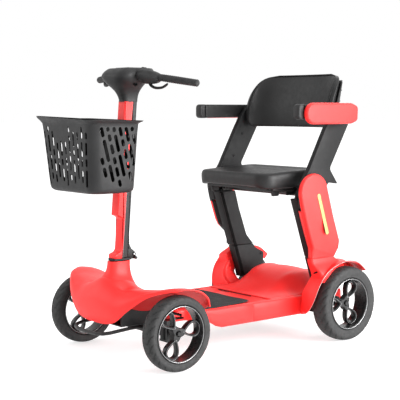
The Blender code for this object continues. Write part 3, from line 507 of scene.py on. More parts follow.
# ---------------------------------------------------------------- front hood
HOOD = [
    # x, then (y, z) from the lower front edge over the crown to the rear foot
    (0.0, [(-0.455, 0.119), (-0.461, 0.16), (-0.456, 0.2), (-0.436, 0.236), (-0.41, 0.252),
           (-0.368, 0.252), (-0.331, 0.236), (-0.313, 0.204), (-0.299, 0.166), (-0.262, 0.1465)]),
    (0.05, [(-0.453, 0.12), (-0.46, 0.158), (-0.454, 0.196), (-0.434, 0.225), (-0.408, 0.238),
            (-0.368, 0.236), (-0.33, 0.221), (-0.308, 0.195), (-0.29, 0.164), (-0.256, 0.1465)]),
    (0.1, [(-0.45, 0.132), (-0.455, 0.16), (-0.449, 0.19), (-0.431, 0.214), (-0.404, 0.226),
           (-0.362, 0.222), (-0.32, 0.208), (-0.286, 0.187), (-0.26, 0.163), (-0.236, 0.1465)]),
    (0.15, [(-0.44, 0.17), (-0.442, 0.186), (-0.436, 0.204), (-0.42, 0.217), (-0.396, 0.226),
            (-0.355, 0.226), (-0.308, 0.216), (-0.262, 0.197), (-0.226, 0.174), (-0.205, 0.148)]),
    (0.2, [(-0.414, 0.211), (-0.414, 0.217), (-0.409, 0.225), (-0.398, 0.229), (-0.382, 0.233),
           (-0.345, 0.232), (-0.3, 0.224), (-0.252, 0.206), (-0.22, 0.184), (-0.205, 0.156)]),
    (0.245, [(-0.383, 0.2315), (-0.381, 0.234), (-0.377, 0.237), (-0.37, 0.24), (-0.358, 0.242),
             (-0.335, 0.242), (-0.3, 0.237), (-0.258, 0.222), (-0.23, 0.199), (-0.22, 0.174)]),
    (0.275, [(-0.345, 0.239), (-0.342, 0.24), (-0.338, 0.241), (-0.333, 0.2415), (-0.325, 0.2415),
             (-0.31, 0.2395), (-0.285, 0.235), (-0.262, 0.225), (-0.242, 0.206), (-0.236, 0.18)]),
]


def hood_point(x, t):
    """A point of the hood's skin: x across, t from its front edge (0) to its foot (1)."""
    rows = [(at, along_points(points, t)) for at, points in HOOD]
    y, z = cubic([(-rows[1][0], rows[1][1])] + rows, abs(x))
    near = abs(x)
    z -= 0.014 * hill(hypot(near - 0.074, y + 0.395), 0.022)
    z -= 0.008 * hill(hypot(near - 0.06, y + 0.318), 0.022)
    z += 0.002 * hill(hypot(near - 0.15, (y + 0.385) * 1.2), 0.045)
    z -= 0.0025 * ease(near, 0.06, 0.13) * ease(z, 0.15, 0.21)
    return Vector((x, y, z))


def hood_height(x, y):
    """Height of the hood's crown at a place, found along its profile."""
    low, high = 0.18, 1.0
    for _ in range(22):
        middle = (low + high) / 2
        if hood_point(x, middle).y < y:
            low = middle
        else:
            high = middle
    return hood_point(x, low).z


def stem_y(height):
    """Y of the steering axis at a height."""
    return -0.3916 + tan(radians(4.9)) * height


def front_hood():
    """The red hood, its flared neck and the liners in its arches, a darker red of painted shade."""
    rows = [[hood_point(x, t) for t in evenly(0.0, 1.0, 45)] for x in evenly(-0.275, 0.275, 61)]
    wall(piece("hood", skin(rows), "chassis", RED, ["front_fairing"]), 0.0032, edge=0.0009)

    neck, seam = [], 0.2935
    for s in evenly(0.0, 1.0, 15):
        reach = (1 - s) ** 4.0
        centre = stem_y(seam) - 0.002 * (1 - s)
        ring = []
        for x, y in squarish(0.0225 + 0.026 * reach, 0.035 + 0.024 * reach, 0.72, 40):
            base = hood_height(x, centre + y) - 0.0022
            ring.append((x, centre + y, base + (seam - base) * ease(s) ** 0.9))
        neck.append(ring)
    inner = [(x * 0.8, stem_y(seam) + (y - stem_y(seam)) * 0.86, z - 0.0005) for x, y, z in neck[-1]]
    neck.append(inner)
    neck.append([(x, y, z - 0.03) for x, y, z in inner])
    piece("hood_neck", skin(neck, round_=True), "chassis", RED, sharp=60)

    for side, tag in SIDES:
        rows = []
        for y in evenly(-0.418, -0.268, 13):
            top = hood_height(0.176, y) - 0.0045
            foot = 0.158 + 0.018 * ((y + 0.345) / 0.075) ** 2
            rows.append([(side * (0.122 + 0.054 * (n / 8) ** 2.4), y, foot + (top - foot) * (n / 8) ** 0.8)
                         for n in range(9)])
        # the liner wears the darker red of painted shade
        liner = piece(f"arch_liner_skin_{tag}", skin(rows), "chassis", SHADED_RED, [f"arch_liner_{tag}"])
        wall(liner, 0.0022, 0.0)
        # Black bars on the liner for its two slits: painted shade where there are only openings.
        slits = [bar([(side * 0.1195, y, 0.174), (side * 0.1215, y, 0.208)], 0.0013, 8)
                 for y in (-0.398, -0.384)]
        piece(f"arch_slit_shades_{tag}", joined(*slits), "chassis", BLACK)


# ---------------------------------------------------------------- deck and rear body
def deck_outline(grow):
    """The deck's plan, from the hood back to the rear body."""
    return inset(rounded([(-0.112, -0.256), (0.112, -0.256), (0.112, -0.202), (0.165, -0.172),
                          (0.165, 0.262), (-0.165, 0.262), (-0.165, -0.172), (-0.112, -0.202)],
                         [0.012, 0.012, 0.02, 0.03, 0.01, 0.01, 0.03, 0.02], 5), grow)


def deck():
    """The red foot deck with a soft edge, its seam and its rib."""
    def fill(outline):
        """The outline with its long sides split, so that the seam and rib have points."""
        stops = (-0.147, -0.12, -0.095, -0.06, -0.02, 0.0255, 0.027, 0.0285, 0.08, 0.14, 0.18, 0.21,
                 0.229, 0.233, 0.236, 0.239, 0.243)
        dense = []
        for a, b in zip(outline, outline[1:] + outline[:1]):
            dense.append(a)
            if abs(a.x - b.x) < 0.001 and abs(a.y - b.y) > 0.2:
                cuts = [y for y in stops if min(a.y, b.y) < y < max(a.y, b.y)]
                for y in sorted(cuts, reverse=a.y > b.y):
                    dense.append(Vector((a.x, y)))
        return dense

    rows = []
    for z, pull in ((0.14, 0.02), (0.143, 0.012), (0.1426, 0.008), (0.1412, 0.004), (0.1385, 0.0012),
                    (0.135, 0.0), (0.12, 0.0), (0.1, 0.0004), (0.09, 0.0012), (0.085, 0.0026),
                    (0.0815, 0.0055), (0.08, 0.01)):
        ring = []
        for x, y in fill(deck_outline(pull)):
            drop = (0.143 - z) * (1.0 - 0.42 * ease(-y, 0.098, 0.16))
            if abs(x) > 0.15 and z < 0.141:
                x -= copysign(0.0011 * hill(y - 0.027, 0.0009), x)
                x += copysign(0.0016 * hill(y - 0.236, 0.0036) * ease(0.141 - z, 0.0, 0.006), x)
            ring.append((x, y, 0.143 - drop))
        rows.append(ring)
    shell = skin(rows, round_=True)
    shell.verts.ensure_lookup_table()
    shell.faces.new([shell.verts[i] for i in range(len(rows[0]))])
    wall(piece("deck_skin", shell, "chassis", RED, ["deck_shell"], sharp=35), 0.0026)


def floor_mat():
    """The waved floor mat, and dark bars of painted shade for the slots behind it."""
    half = [(-0.232, 0.098), (-0.196, 0.098), (-0.16, 0.15), (-0.06, 0.1505), (0.0, 0.146),
            (0.022, 0.139), (0.0355, 0.133)]
    front, rear = half[0][0], half[-1][0]
    wave_length, wave_height = 0.0092, 0.0011
    rows = []
    for y in evenly(front, rear, 150):
        row = []
        for u in evenly(-1.0, 1.0, 41):
            x = cubic(half, y) * u
            fade = ease(1 - abs(u), 0.0, 0.03) * ease(rear - y, 0.0, 0.004)
            wave = sin(2 * pi * (y / wave_length + 0.35 * sin(x * 34.0)))
            row.append((x, y, 0.144 + 0.0022 * fade + wave_height * wave * fade))
        rows.append(row)
    piece("mat", skin(rows), "chassis", RIBBED, ["floor_mat"], sharp=60)
    # the slots are dark bars of painted shade, not openings
    slot = [bar([(-0.095, 0.098, 0.1429), (0.07, 0.098, 0.1429)], 0.002, 8, 0.6),
            bar([(-0.08, 0.0895, 0.1429), (-0.03, 0.0895, 0.1429)], 0.001, 8, 0.6)]
    piece("deck_slot_shade", joined(*slot), "chassis", HOLE_SHADE)


def rear_half(y):
    """Half the width of the rear body."""
    return 0.156 + 0.0175 * ease(y, 0.225, 0.3)


def rear_height(x, y):
    """Height of the raised rear body at a place."""
    rise = cubic([(0.11, 0.0), (0.145, 0.003), (0.18, 0.017), (0.215, 0.04), (0.25, 0.057), (0.285, 0.066),
                  (0.315, 0.069), (0.345, 0.066), (0.375, 0.052), (0.405, 0.012)], y)
    u = abs(x) / rear_half(y)
    shoulder = 1 - ease(u, 0.45, 1.0) * (1 - 0.35 * ease(y, 0.22, 0.3))
    ledge = 0.01 * hill(u - 0.62, 0.16) * ease(y, 0.2, 0.26)
    return 0.1434 + rise * shoulder * (1 - 0.1 * ease(u, 0.1, 0.62)) + ledge * ease(rise, 0.0, 0.03)


def rear_body():
    """The hump between the rear wheels, flowing out of the deck."""
    rows = []
    for y in evenly(0.11, 0.405, 45):
        half = rear_half(y)
        rows.append([(x, y, rear_height(x, y)) for x in evenly(-half, half, 37)])
    top = rows[-1]
    for drop in (0.01, 0.03, 0.055):
        rows.append([(x, y + 0.0015 + 0.03 * drop, z - drop) for x, y, z in top])
    parts = [skin(rows)]
    for side in (0, -1):
        line = [row[side] for row in rows[10:45]]
        parts.append(skin([line] + [[(x, y, 0.1436 - d + (z - 0.1436) * (1 - d / 0.03)) for x, y, z in line]
                                    for d in (0.01, 0.02, 0.03)]))
    wall(piece("rear_body", joined(*parts), "chassis", RED, ["rear_body_shell"], sharp=60), 0.0024)


LIP_LINE = [
    # inner x, outer x, y, z along the cover's edge, from its rear tip round to the deck
    (0.2085, 0.268, 0.424, 0.22), (0.2085, 0.271, 0.386, 0.247), (0.2085, 0.271, 0.345, 0.2568),
    (0.2085, 0.27, 0.305, 0.253), (0.2085, 0.267, 0.27, 0.239), (0.2085, 0.264, 0.2415, 0.218),
    (0.206, 0.263, 0.217, 0.1855), (0.188, 0.256, 0.203, 0.145), (0.169, 0.24, 0.201, 0.115),
    (0.164, 0.218, 0.2045, 0.096), (0.164, 0.172, 0.228, 0.083),
]
WALL_LINE = [
    # y, z where the cover's inner side wall ends, beside each point of LIP_LINE
    (0.41, 0.205), (0.378, 0.218), (0.345, 0.225), (0.31, 0.216), (0.286, 0.202), (0.274, 0.188),
    (0.264, 0.174), (0.261, 0.155), (0.267, 0.136), (0.27, 0.11), (0.27, 0.095),
]
ROOT = [
    # z, front y, rear y, inner x, outer x of the foot that the leg stands on
    (0.195, 0.237, 0.3, 0.2088, 0.258), (0.21, 0.2345, 0.31, 0.2088, 0.259),
    (0.222, 0.231, 0.33, 0.2088, 0.257), (0.232, 0.227, 0.345, 0.2087, 0.252),
    (0.242, 0.2225, 0.348, 0.2087, 0.2445), (0.252, 0.218, 0.343, 0.2087, 0.236),
    (0.261, 0.215, 0.33, 0.2087, 0.2315), (0.2696, 0.2142, 0.318, 0.2087, 0.23),
]


def sweep_back(made):
    """Draws the front of the right-hand leg back behind its strut, low down."""
    for v in made.data.vertices:
        z, y = v.co.z, v.co.y - SHIFT.y
        share = (y - leg_front(max(z, 0.2705))) / 0.085
        low, top = ease(0.352 - z, 0.0, 0.045) * ease(z, 0.228, 0.266), ease(z, 0.27, 0.352)
        v.co.y += (0.044 * low + 0.015 * top * (1 - low)) * (1 - ease(share, 0.0, 1.0))


def wheel_covers():
    """The red cover round each rear wheel, a pale line of painted highlight along its edge, and its side
    wall.
    """
    def lip(t):
        """Inner x, outer x, y and z of the cover's edge, from 0 at the tip to 1 at the deck."""
        return along_points(LIP_LINE, max(0.0, min(t, 1.0)))

    steps = evenly(0.0, 1.0, 61)
    rows = []
    for s in (0.0, 0.05, 0.12, 0.22, 0.35, 0.5, 0.64, 0.76, 0.86, 0.93, 0.975, 1.0):
        row = []
        for t in steps:
            low, high, y, z = lip(t)
            _, _, y0, z0 = lip(t - 0.01)
            _, _, y1, z1 = lip(t + 0.01)
            out = Vector((z1 - z0, y0 - y1)).normalized() * -1
            crown = 0.0055 * max(sin(pi * s), 0.0) ** 0.7
            back = 0.029 * (1 - s) ** 2.2 * ease(0.17 - z, 0.0, 0.055)
            row.append((low + (high - low) * s, y + out.x * crown + back, z + out.y * crown))
        rows.append(row)
    for cover in both("wheel_cover_skin_{}", skin(rows), "chassis", RED, ["wheel_cover_{}"], sharp=60):
        wall(cover, 0.0028, 1.0, 0.0006)
    # a thin pale bar along the edge: painted highlight
    both("wheel_cover_edge_{}", bar(rows[-1], 0.0007, 8), "chassis", EDGE_HIGHLIGHT, sharp=70)

    rows = []
    for s in (0.0, 0.25, 0.5, 0.75, 1.0):
        row = []
        for t in steps:
            low, _, y, z = lip(t)
            end = along_points(WALL_LINE, t)
            y += 0.029 * ease(0.17 - z, 0.0, 0.055)
            row.append((low + 0.0006 - 0.002 * s * (1 - s), y + (end.x - y) * s, z + (end.y - z) * s))
        rows.append(row)
    for cover in both("wheel_cover_wall_{}", skin(rows), "chassis", RED, sharp=60):
        wall(cover, 0.0022, 0.0)


def leg_roots():
    """The foot that each leg stands on, and a dark bar of painted shade for the slot in the left one."""
    rows = []
    for z in evenly(ROOT[0][0], ROOT[-1][0], 31):
        front, rear, low, high = at_height(ROOT, z)
        corner = min(0.0085, (high - low) * 0.42)
        ring = rounded([(low, front), (high, front), (high, rear), (low, rear)],
                       [0.002, corner, corner, 0.002], 5)
        rows.append([(p.x, p.y, z) for p in ring])
    _, right = both("leg_root_{}", skin(rows, round_=True, caps=True), "chassis", RED, sharp=50)
    sweep_back(right)
    # the slot is a dark bar of painted shade on the foot's front
    piece("foot_slot_shade", bar(smooth_path([(0.228, 0.2262, 0.2235), (0.235, 0.2255, 0.2265),
                                        (0.242, 0.2262, 0.229)], 7), 0.0022, 8), "chassis", HOLE_SHADE)


# ---------------------------------------------------------------- seat tower
# z, y of the leg cover's front edge
LEG_FRONT = [(0.232, 0.2118), (0.28, 0.2118), (0.302, 0.2105), (0.315, 0.206), (0.354, 0.191),
             (0.433, 0.164), (0.4639, 0.156)]


def leg_front(z):
    """Y of the leg cover's front edge at a height."""
    return cubic(LEG_FRONT, z)


def leg_outline():
    """The leg cover seen from the side: a round top, a long lean and a narrow foot."""
    centre, radius = Vector((0.2125, 0.483)), 0.059
    arc = [centre + Vector((cos(a), sin(a))) * radius
           for a in evenly(radians(15.4), radians(198.9), 27)]
    front = [Vector((leg_front(z), z)) for z in (0.45, 0.433, 0.41, 0.385, 0.36, 0.34, 0.325, 0.315,
                                                 0.308, 0.302, 0.295, 0.288, 0.28)]
    rear = rounded([(0.2135, 0.2705), (0.317, 0.2705), (0.3285, 0.296), (0.327, 0.324), (0.297, 0.408)],
                   [0.001, 0.006, 0.012, 0.02, 0], 6)
    return arc + front + rear


def legs():
    """Red leg covers with a turned-in front edge, a dark facing of painted shade on the right one, and the
    lamps.
    """
    bm = slab(leg_outline(), 0.2262, 0.2432, 0.0062, 6)
    for v in bm.verts:
        share = (v.co.x - 0.2262) / 0.017
        v.co.x -= share * 0.0132 * ease(0.312 - v.co.z, 0.0, 0.032)
    _, right = both("leg_skin_{}", bm, "legs", RED, ["leg_cover_{}"], sharp=42)
    sweep_back(right)

    foot, knee, top = 0.2706, 0.425, 0.4639
    rows = []
    for x, back in ((0.235, 0.004), (0.23, 0.0018), (0.2262, 0.0016), (0.22, 0.0036), (0.214, 0.0062),
                    (0.21, 0.0084), (0.2088, 0.011), (0.2088, 0.02)):
        rows.append([(x, leg_front(z) + back, z) for z in evenly(foot, knee, 41)])
    wall(piece("leg_front_left", skin(rows), "legs", RED, sharp=60), 0.0016)
    # The right leg's front edge gets a dark grey facing: painted shade over the red cover.
    low, high = [], []
    for x, back in ((0.2402, 0.002), (0.238, -0.0006), (0.2262, -0.0008), (0.22, 0.0036), (0.2088, 0.011),
                    (0.206, 0.013)):
        low.append([(-x + 0.01 * ease(x, 0.228, 0.237) * ease(z, 0.322, 0.345), leg_front(z) + back, z)
                    for z in evenly(foot, knee, 31)])
    for x, back in ((0.2402, 0.002), (0.238, -0.0006), (0.2262, -0.0008), (0.2262, 0.006)):
        row = [(-x, leg_front(z) + back, z) for z in evenly(knee, top, 9)]
        row += [(-x, 0.2125 - sqrt(0.059**2 - (z - 0.483) ** 2) + back, z)
                for z in evenly(top, top + 0.03, 9)]
        high.append(row)
    facing = piece("leg_front_right_painted_shade", joined(skin(low), skin(high)), "legs", GREY, sharp=60)
    sweep_back(facing)
    wall(facing, 0.0016, 0.0)

    top, foot = Vector((0.2275, 0.478)), Vector((0.2695, 0.347))
    out = (foot - top).orthogonal().normalized()

    def strip(half, low, high, edge):
        """A round-ended strip down the leg's outer side."""
        return plate([top + out * half, top - out * half, foot - out * half, foot + out * half],
                     half * 0.92, low, high, edge, 6)

    both("lamp_{}", strip(0.0064, 0.242, 0.2447, 0.001), "legs", LIGHT, ["light_strip_{}"])
    both("lamp_rim_{}", strip(0.0074, 0.242, 0.2438, 0.0004), "legs", BLACK)


def struts():
    """The struts behind the leg covers with dark strips of painted shade for their grooves, their clevises
    and the brackets at their feet.
    """
    strut = plate([(0.168, 0.462), (0.208, 0.345), (0.234, 0.2705), (0.325, 0.2705), (0.295, 0.305),
                   (0.26, 0.4), (0.242, 0.462)], [0.003, 0.03, 0, 0, 0.03, 0.03, 0.003],
                  0.176, 0.2075, 0.002, 6)
    both("strut_{}", strut, "legs", GREY, ["leg_strut_{}"])
    # each groove is a dark strip of painted shade on the strut's inner face
    groove = [Vector(p) for p in ((0.1735, 0.46), (0.2115, 0.345), (0.2372, 0.2712), (0.25, 0.2712),
                                  (0.224, 0.345), (0.186, 0.46))]
    both("strut_groove_{}", slab(groove, 0.1752, 0.1775, 0.0003), "legs", HOLE_SHADE)
    outer = plate([(0.164, 0.46), (0.172, 0.488), (0.248, 0.488), (0.244, 0.46)], 0.004,
                  0.1985, 0.207, 0.0012, 3)
    inner = plate([(0.188, 0.464), (0.19, 0.484), (0.23, 0.484), (0.226, 0.464)], 0.003,
                  0.179, 0.185, 0.001, 3)
    both("strut_clevis_{}", joined(outer, inner), "legs", BLACK)

    bracket = plate([(0.2345, 0.2694), (0.26, 0.195), (0.27, 0.156), (0.372, 0.183), (0.378, 0.236),
                     (0.339, 0.255), (0.3255, 0.2694)], [0, 0.03, 0.005, 0.01, 0.012, 0.02, 0],
                    0.176, 0.2035, 0.002, 6)
    both("strut_foot_{}", bracket, "chassis", GREY, ["foot_bracket_{}"])
    # the bracket's groove is likewise a dark strip of painted shade
    groove = [Vector(p) for p in ((0.2378, 0.269), (0.2632, 0.195), (0.2722, 0.162), (0.284, 0.165),
                                  (0.2764, 0.195), (0.2508, 0.269))]
    both("foot_groove_shade_{}", slab(groove, 0.1752, 0.1775, 0.0003), "chassis", HOLE_SHADE)
    both("foot_screw_{}", screw_head((0.1762, 0.364, 0.232), 0.005, -1), "chassis", BLACK)


def seat():
    """The moulded seat: a raised rim round a dished top, deep at the front and the sides."""
    def outline(grow):
        """The seat's plan, larger by grow on every side."""
        half = 0.171 + grow
        return rounded([(-half, 0.0625 - grow), (half, 0.0625 - grow), (half - 0.003, 0.318 + grow),
                        (-half + 0.003, 0.318 + grow)],
                       [0.05 + grow, 0.05 + grow, 0.036 + grow, 0.036 + grow], 9)

    rows = []
    for z, grow in ((0.504, -0.03), (0.501, -0.012), (0.5025, -0.004), (0.506, -0.0008), (0.512, 0.0006),
                    (0.52, 0.0014), (0.53, 0.0012), (0.5365, -0.0008), (0.5405, -0.0038), (0.5428, -0.008),
                    (0.5436, -0.013), (0.543, -0.019), (0.5412, -0.025), (0.5394, -0.032)):
        ring = []
        for p in outline(grow):
            back = ease(p.y, 0.08, 0.32)
            lift = 0.0095 * back * ease(z, 0.515, 0.54)
            low = -0.0085 * ease(abs(p.x), 0.1, 0.17) * ease(0.52 - z, 0.0, 0.018)
            ring.append((p.x, p.y, z + lift + low))
        rows.append(ring)
    last, middle = rows[-1], 0.195
    for s in evenly(0.875, 0.125, 7):
        dish = 0.006 * (1 - s) + 0.002 * hill(s - 0.55, 0.2)
        ring = []
        for x, y, z in last:
            inner_y = middle + (y - middle) * s
            lift = 0.0095 * (ease(inner_y, 0.08, 0.32) - ease(y, 0.08, 0.32))
            ring.append((x * s, inner_y, z - dish + lift))
        rows.append(ring)
    pad = skin(rows, round_=True)
    pad.verts.ensure_lookup_table()
    pad.faces.new([pad.verts[i] for i in range(len(pad.verts) - len(last), len(pad.verts))])
    cushion = piece("seat_pad", pad, "seat", SKIN, ["seat_cushion"], sharp=70)

    brackets = []
    for side in (1, -1):
        for y0, y1 in ((0.108, 0.15), (0.17, 0.235)):
            brackets.append(plate([(y0, 0.499), (y1, 0.499), (y1 - 0.008, 0.47), (y0 + 0.008, 0.47)], 0.003,
                                  *sorted((side * 0.146, side * 0.152)), 0.001, 2))
        brackets.append(bar([(side * 0.149, 0.12, 0.485), (side * 0.149, 0.225, 0.485)], 0.0045))
        brackets.append(plate([(0.1, 0.501), (0.26, 0.501), (0.25, 0.486), (0.11, 0.486)], 0.004,
                              *sorted((side * 0.1575, side * 0.1625)), 0.001, 2))
    piece("seat_brackets", joined(*brackets), "seat", BLACK)


def wrap_line(height, pull, behind):
    """A level line of the backrest's wrap, pulled in at its ends and set back along its normals."""
    half, depth, lean = 0.1955, 0.08, 0.2

    def at(u):
        """The curve of the wrap in plan, u from -1 to 1."""
        s = sin(u * radians(84)) / sin(radians(84))
        return Vector((half * s, 0.306 + depth * (1 - abs(u) ** 2.4), 0.0))

    line = []
    for u in evenly(-1 + pull / half, 1 - pull / half, 41):
        along = (at(min(u + 0.01, 1.0)) - at(max(u - 0.01, -1.0))).normalized()
        line.append(at(u) + Vector((-along.y, along.x, 0.0)) * behind
                    + Vector((0.0, lean * (height - 0.7), height)))
    return line


def backrest():
    """The wrap-round backrest: a rolled pad, a piped edge, and a shell behind it."""
    keys = ((0.682, 0.04), (0.69, 0.019), (0.705, 0.006), (0.735, 0.0), (0.77, 0.002), (0.8, 0.01),
            (0.825, 0.024), (0.843, 0.046), (0.853, 0.072), (0.857, 0.1))
    levels = [(z, cubic(keys, z)) for z in evenly(0.682, 0.857, 33)]
    front, back = [], []
    for n, (z, pull) in enumerate(levels):
        s = n / (len(levels) - 1)
        puff = 0.012 * max(sin(pi * s), 0.0) ** 0.28
        front.append(wrap_line(z, pull, -puff))
        back.append(wrap_line(z, pull, puff))
    rows = front + back[::-1]
    bm = bmesh.new()
    grid = [[bm.verts.new(p) for p in row] for row in rows]
    for here, there in zip(grid, grid[1:] + grid[:1]):
        for i in range(len(here) - 1):
            bm.faces.new((here[i], here[i + 1], there[i + 1], there[i]))
    count = len(levels)
    for end, order in ((0, 1), (-1, -1)):
        for n in range(count - 1):
            a, b = grid[n][end], grid[n + 1][end]
            c, d = grid[2 * count - 2 - n][end], grid[2 * count - 1 - n][end]
            if len({a, b, c, d}) == 4:
                bm.faces.new((a, b, c, d)[::order])
    bmesh.ops.remove_doubles(bm, verts=bm.verts, dist=0.00002)
    pad = piece("backrest_cushion", bm, "backrest", SKIN, ["backrest_pad"], sharp=75)
    soften(pad, 0.0045, 3, 60)

    rim = [wrap_line(z, pull - 0.001, -0.004)[-1] for z, pull in levels]
    rim += wrap_line(levels[-1][0] + 0.0006, levels[-1][1], -0.004)[::-1]
    rim += [wrap_line(z, pull - 0.001, -0.004)[0] for z, pull in levels[::-1]]
    piece("backrest_piping", bar(rim, 0.0022, 8), "backrest", GREY, sharp=70)

    pulls = ((0.7, 0.034), (0.72, 0.018), (0.76, 0.016), (0.815, 0.03), (0.838, 0.06))
    rows = [wrap_line(z, cubic(pulls, z), 0.0186) for z in evenly(0.7, 0.838, 17)]
    shell = piece("backrest_back", skin(rows), "backrest", BLACK, ["backrest_shell"], sharp=70)
    wall(shell, 0.004, 0.0, 0.0012)
    ribs = [bar(wrap_line(z, 0.045, 0.0212), 0.0016, 8) for z in (0.735, 0.77, 0.805)]
    piece("backrest_ribs", joined(*ribs), "backrest", BLACK, sharp=70)


def side_arms():
    """The charcoal side arms with their screws, and the flip-up armrests."""
    arm = plate([(0.205, 0.556), (0.273, 0.68), (0.296, 0.718), (0.323, 0.748), (0.367, 0.748),
                 (0.392, 0.718), (0.379, 0.6957), (0.296, 0.554), (0.333, 0.5045), (0.29, 0.5105),
                 (0.27, 0.475), (0.243, 0.436), (0.176, 0.429), (0.164, 0.495)],
                [0.01, 0, 0, 0.01, 0.01, 0.006, 0, 0.014, 0.002, 0.012, 0, 0.02, 0.01, 0.03],
                0.2085, 0.2255, 0.002, 6)
    both("arm_plate_{}", arm, "backrest", GREY, ["side_arm_{}"])
    screws = [screw_head((0.2086, y, z), 0.0046, -1) for y, z in ((0.302, 0.658), (0.262, 0.582))]
    both("arm_screws_{}", joined(*screws), "backrest", BLACK)

    core = plate([(0.15, 0.713), (0.36, 0.715), (0.36, 0.759), (0.15, 0.759)], [0.004, 0.0089, 0.006, 0.004],
                 0.229, 0.2552, 0.004, 6)
    both("armrest_core_{}", core, "armrest_{}", BLACK, ["armrest_{}"])
    cap = plate([(0.128, 0.7125), (0.153, 0.7125), (0.153, 0.7595), (0.128, 0.7595)],
                [0.012, 0.001, 0.001, 0.012], 0.2285, 0.2552, 0.005, 6)
    both("armrest_cap_{}", cap, "armrest_{}", CHARCOAL)
    covers = ((1, "left", 0.146, 0.6975, 0.7635), (-1, "right", 0.172, 0.712, 0.7588))
    for side, tag, front, low, high in covers:
        curve = (high - low) * 0.49
        cover = rounded([(front, low), (0.346, low), (0.3725, low + 0.009), (0.3745, high - 0.011),
                         (0.346, high), (front, high)], [curve, 0.03, 0.014, 0.014, 0.03, curve], 9)
        shape = mesh_from(slab(cover, 0.2553, 0.2742, 0.007, 5))
        piece(f"armrest_skin_{tag}", shape if side > 0 else flipped(shape), f"armrest_{tag}", RED,
              [f"armrest_cover_{tag}"])


# ---------------------------------------------------------------- basket
BASKET = [
    # height, half width, front y, rear y
    (0.5065, 0.115, -0.527, -0.397), (0.509, 0.1205, -0.532, -0.392), (0.5135, 0.125, -0.536, -0.389),
    (0.5215, 0.1275, -0.538, -0.388), (0.62, 0.1365, -0.546, -0.3855), (0.703, 0.1455, -0.553, -0.383),
    (0.708, 0.15, -0.557, -0.38), (0.713, 0.157, -0.564, -0.376), (0.7165, 0.1588, -0.5655, -0.374),
]


def basket_ring(height, grow=0.0):
    """The basket's level outline at a height, corners rounded, as points of two numbers."""
    half, front, rear = at_height(BASKET, height)
    corners = [(-half, front), (half, front), (half, rear), (-half, rear)]
    return inset(rounded(corners, [0.036, 0.036, 0.024, 0.024], 8), -grow)


def capsule(centre, along, through, length, width, reach):
    """A round-ended bar through a wall: along its length, its width and through the wall."""
    across = along.cross(through).normalized()
    ring = []
    for sign in (1, -1):
        for k in range(5):
            a = pi * k / 4 - pi / 2
            ring.append(along * sign * (length / 2 - width / 2 + width / 2 * cos(a))
                        + across * sign * (width / 2 * sin(a)))
    ends = [[centre + p + through * step for p in ring] for step in (-reach, reach)]
    return skin(ends, round_=True, caps=True)


def basket_slots():
    """Every slot of the basket, as one cutter: upright ones in front, slanted ones at the sides."""
    cutters = []
    for face in ("front", "rear"):
        for c in range(11):
            u = (c - 5) / 5
            z, step = 0.525 + 0.026 * (0.0, 0.62, 0.28, 0.85, 0.45)[c % 5], 0
            while z < 0.692:
                length = min((0.05, 0.024, 0.038, 0.02, 0.044)[(c * 3 + step) % 5], 0.696 - z)
                middle = z + length / 2
                plain = face == "front" and -0.5 < u < 0.1 and middle > 0.655
                if length > 0.01 and not plain:
                    half, front, rear = at_height(BASKET, middle)
                    place = Vector((u * (half - 0.03), front if face == "front" else rear, middle))
                    if face == "front" or abs(place.x) > 0.062:
                        cutters.append(capsule(place, Vector((0.1 * u, 0.0, 1.0)).normalized(),
                                               Vector((0, 1, 0)), length, 0.0086, 0.01))
                z += length + 0.0078
                step += 1
    slant = 0.32
    for side in (1, -1):
        for c in range(-2, 10):
            z, step = 0.525 + 0.014 * ((c * 2) % 3), 0
            while z < 0.69:
                length = min((0.066, 0.03, 0.052, 0.022)[(c + 2 * step) % 4], 0.696 - z)
                middle = z + length / 2
                half, front, rear = at_height(BASKET, middle)
                y = -0.533 + 0.0205 * c + slant * (0.61 - middle)
                if front + 0.034 < y < rear - 0.02 and length > 0.012:
                    along = Vector((side * 0.09, -slant, 1.0)).normalized()
                    cutters.append(capsule(Vector((side * half, y, middle)), along, Vector((1, 0, 0)),
                                           length, 0.0112, 0.01))
                z += length * 0.95 + 0.0075
                step += 1
    for cx in range(-4, 5):
        for cy in (-0.496, -0.466, -0.436):
            cutters.append(capsule(Vector((cx * 0.023, cy, 0.5075)), Vector((0, 1, 0)), Vector((0, 0, 1)),
                                   0.02, 0.0066, 0.008))
    return joined(*cutters)


def basket():
    """The slotted carrier with its flared wavy lip."""
    heights = [0.5065, 0.509, 0.5135, 0.5215, 0.56, 0.59, 0.62, 0.65, 0.68, 0.703, 0.708, 0.713, 0.7165]
    outer, inner = [], []
    for z in heights:
        for rows, grow, up in ((outer, 0.0, 0.0), (inner, -0.0028, 0.0028 if z < 0.5216 else 0.0)):
            ring = []
            for p in basket_ring(z, grow):
                lip = ease(z, 0.703, 0.7165)
                wave = 0.008 * hill(p.x + 0.155, 0.09) * ease(-p.y, 0.44, 0.55)
                wave -= 0.0045 * hill(p.x - 0.155, 0.06) * ease(p.y, -0.48, -0.39)
                wave += 0.011 * hill(p.x / 0.046, 1.0) ** 0.6 * ease(p.y, -0.43, -0.39)
                wave -= 0.003 * hill(p.x - 0.02, 0.09) * ease(-p.y, 0.53, 0.56)
                ring.append((p.x, p.y, z + up + wave * lip))
            rows.append(ring)
    shell = skin(outer + inner[::-1], round_=True, caps=True)
    # the shell wears the plastic with painted shade on its inside
    made = piece("basket_shell", shell, "basket", BASKET_PAINTED_SHADE, ["basket"])
    cutter = bpy.data.objects.new("basket_cutter", mesh_from(basket_slots(), 0))
    bpy.context.scene.collection.objects.link(cutter)
    mod = made.modifiers.new("slots", "BOOLEAN")
    mod.operation = "DIFFERENCE"
    mod.solver = "EXACT"
    mod.object = cutter
    bpy.context.view_layer.update()
    cut = bpy.data.meshes.new_from_object(made.evaluated_get(bpy.context.evaluated_depsgraph_get()))
    made.modifiers.clear()
    made.data = cut
    bpy.data.objects.remove(cutter)
    made.data.shade_smooth()
    made.data.set_sharp_from_angle(angle=radians(40))
    soften(made, 0.0006, 1, 60)


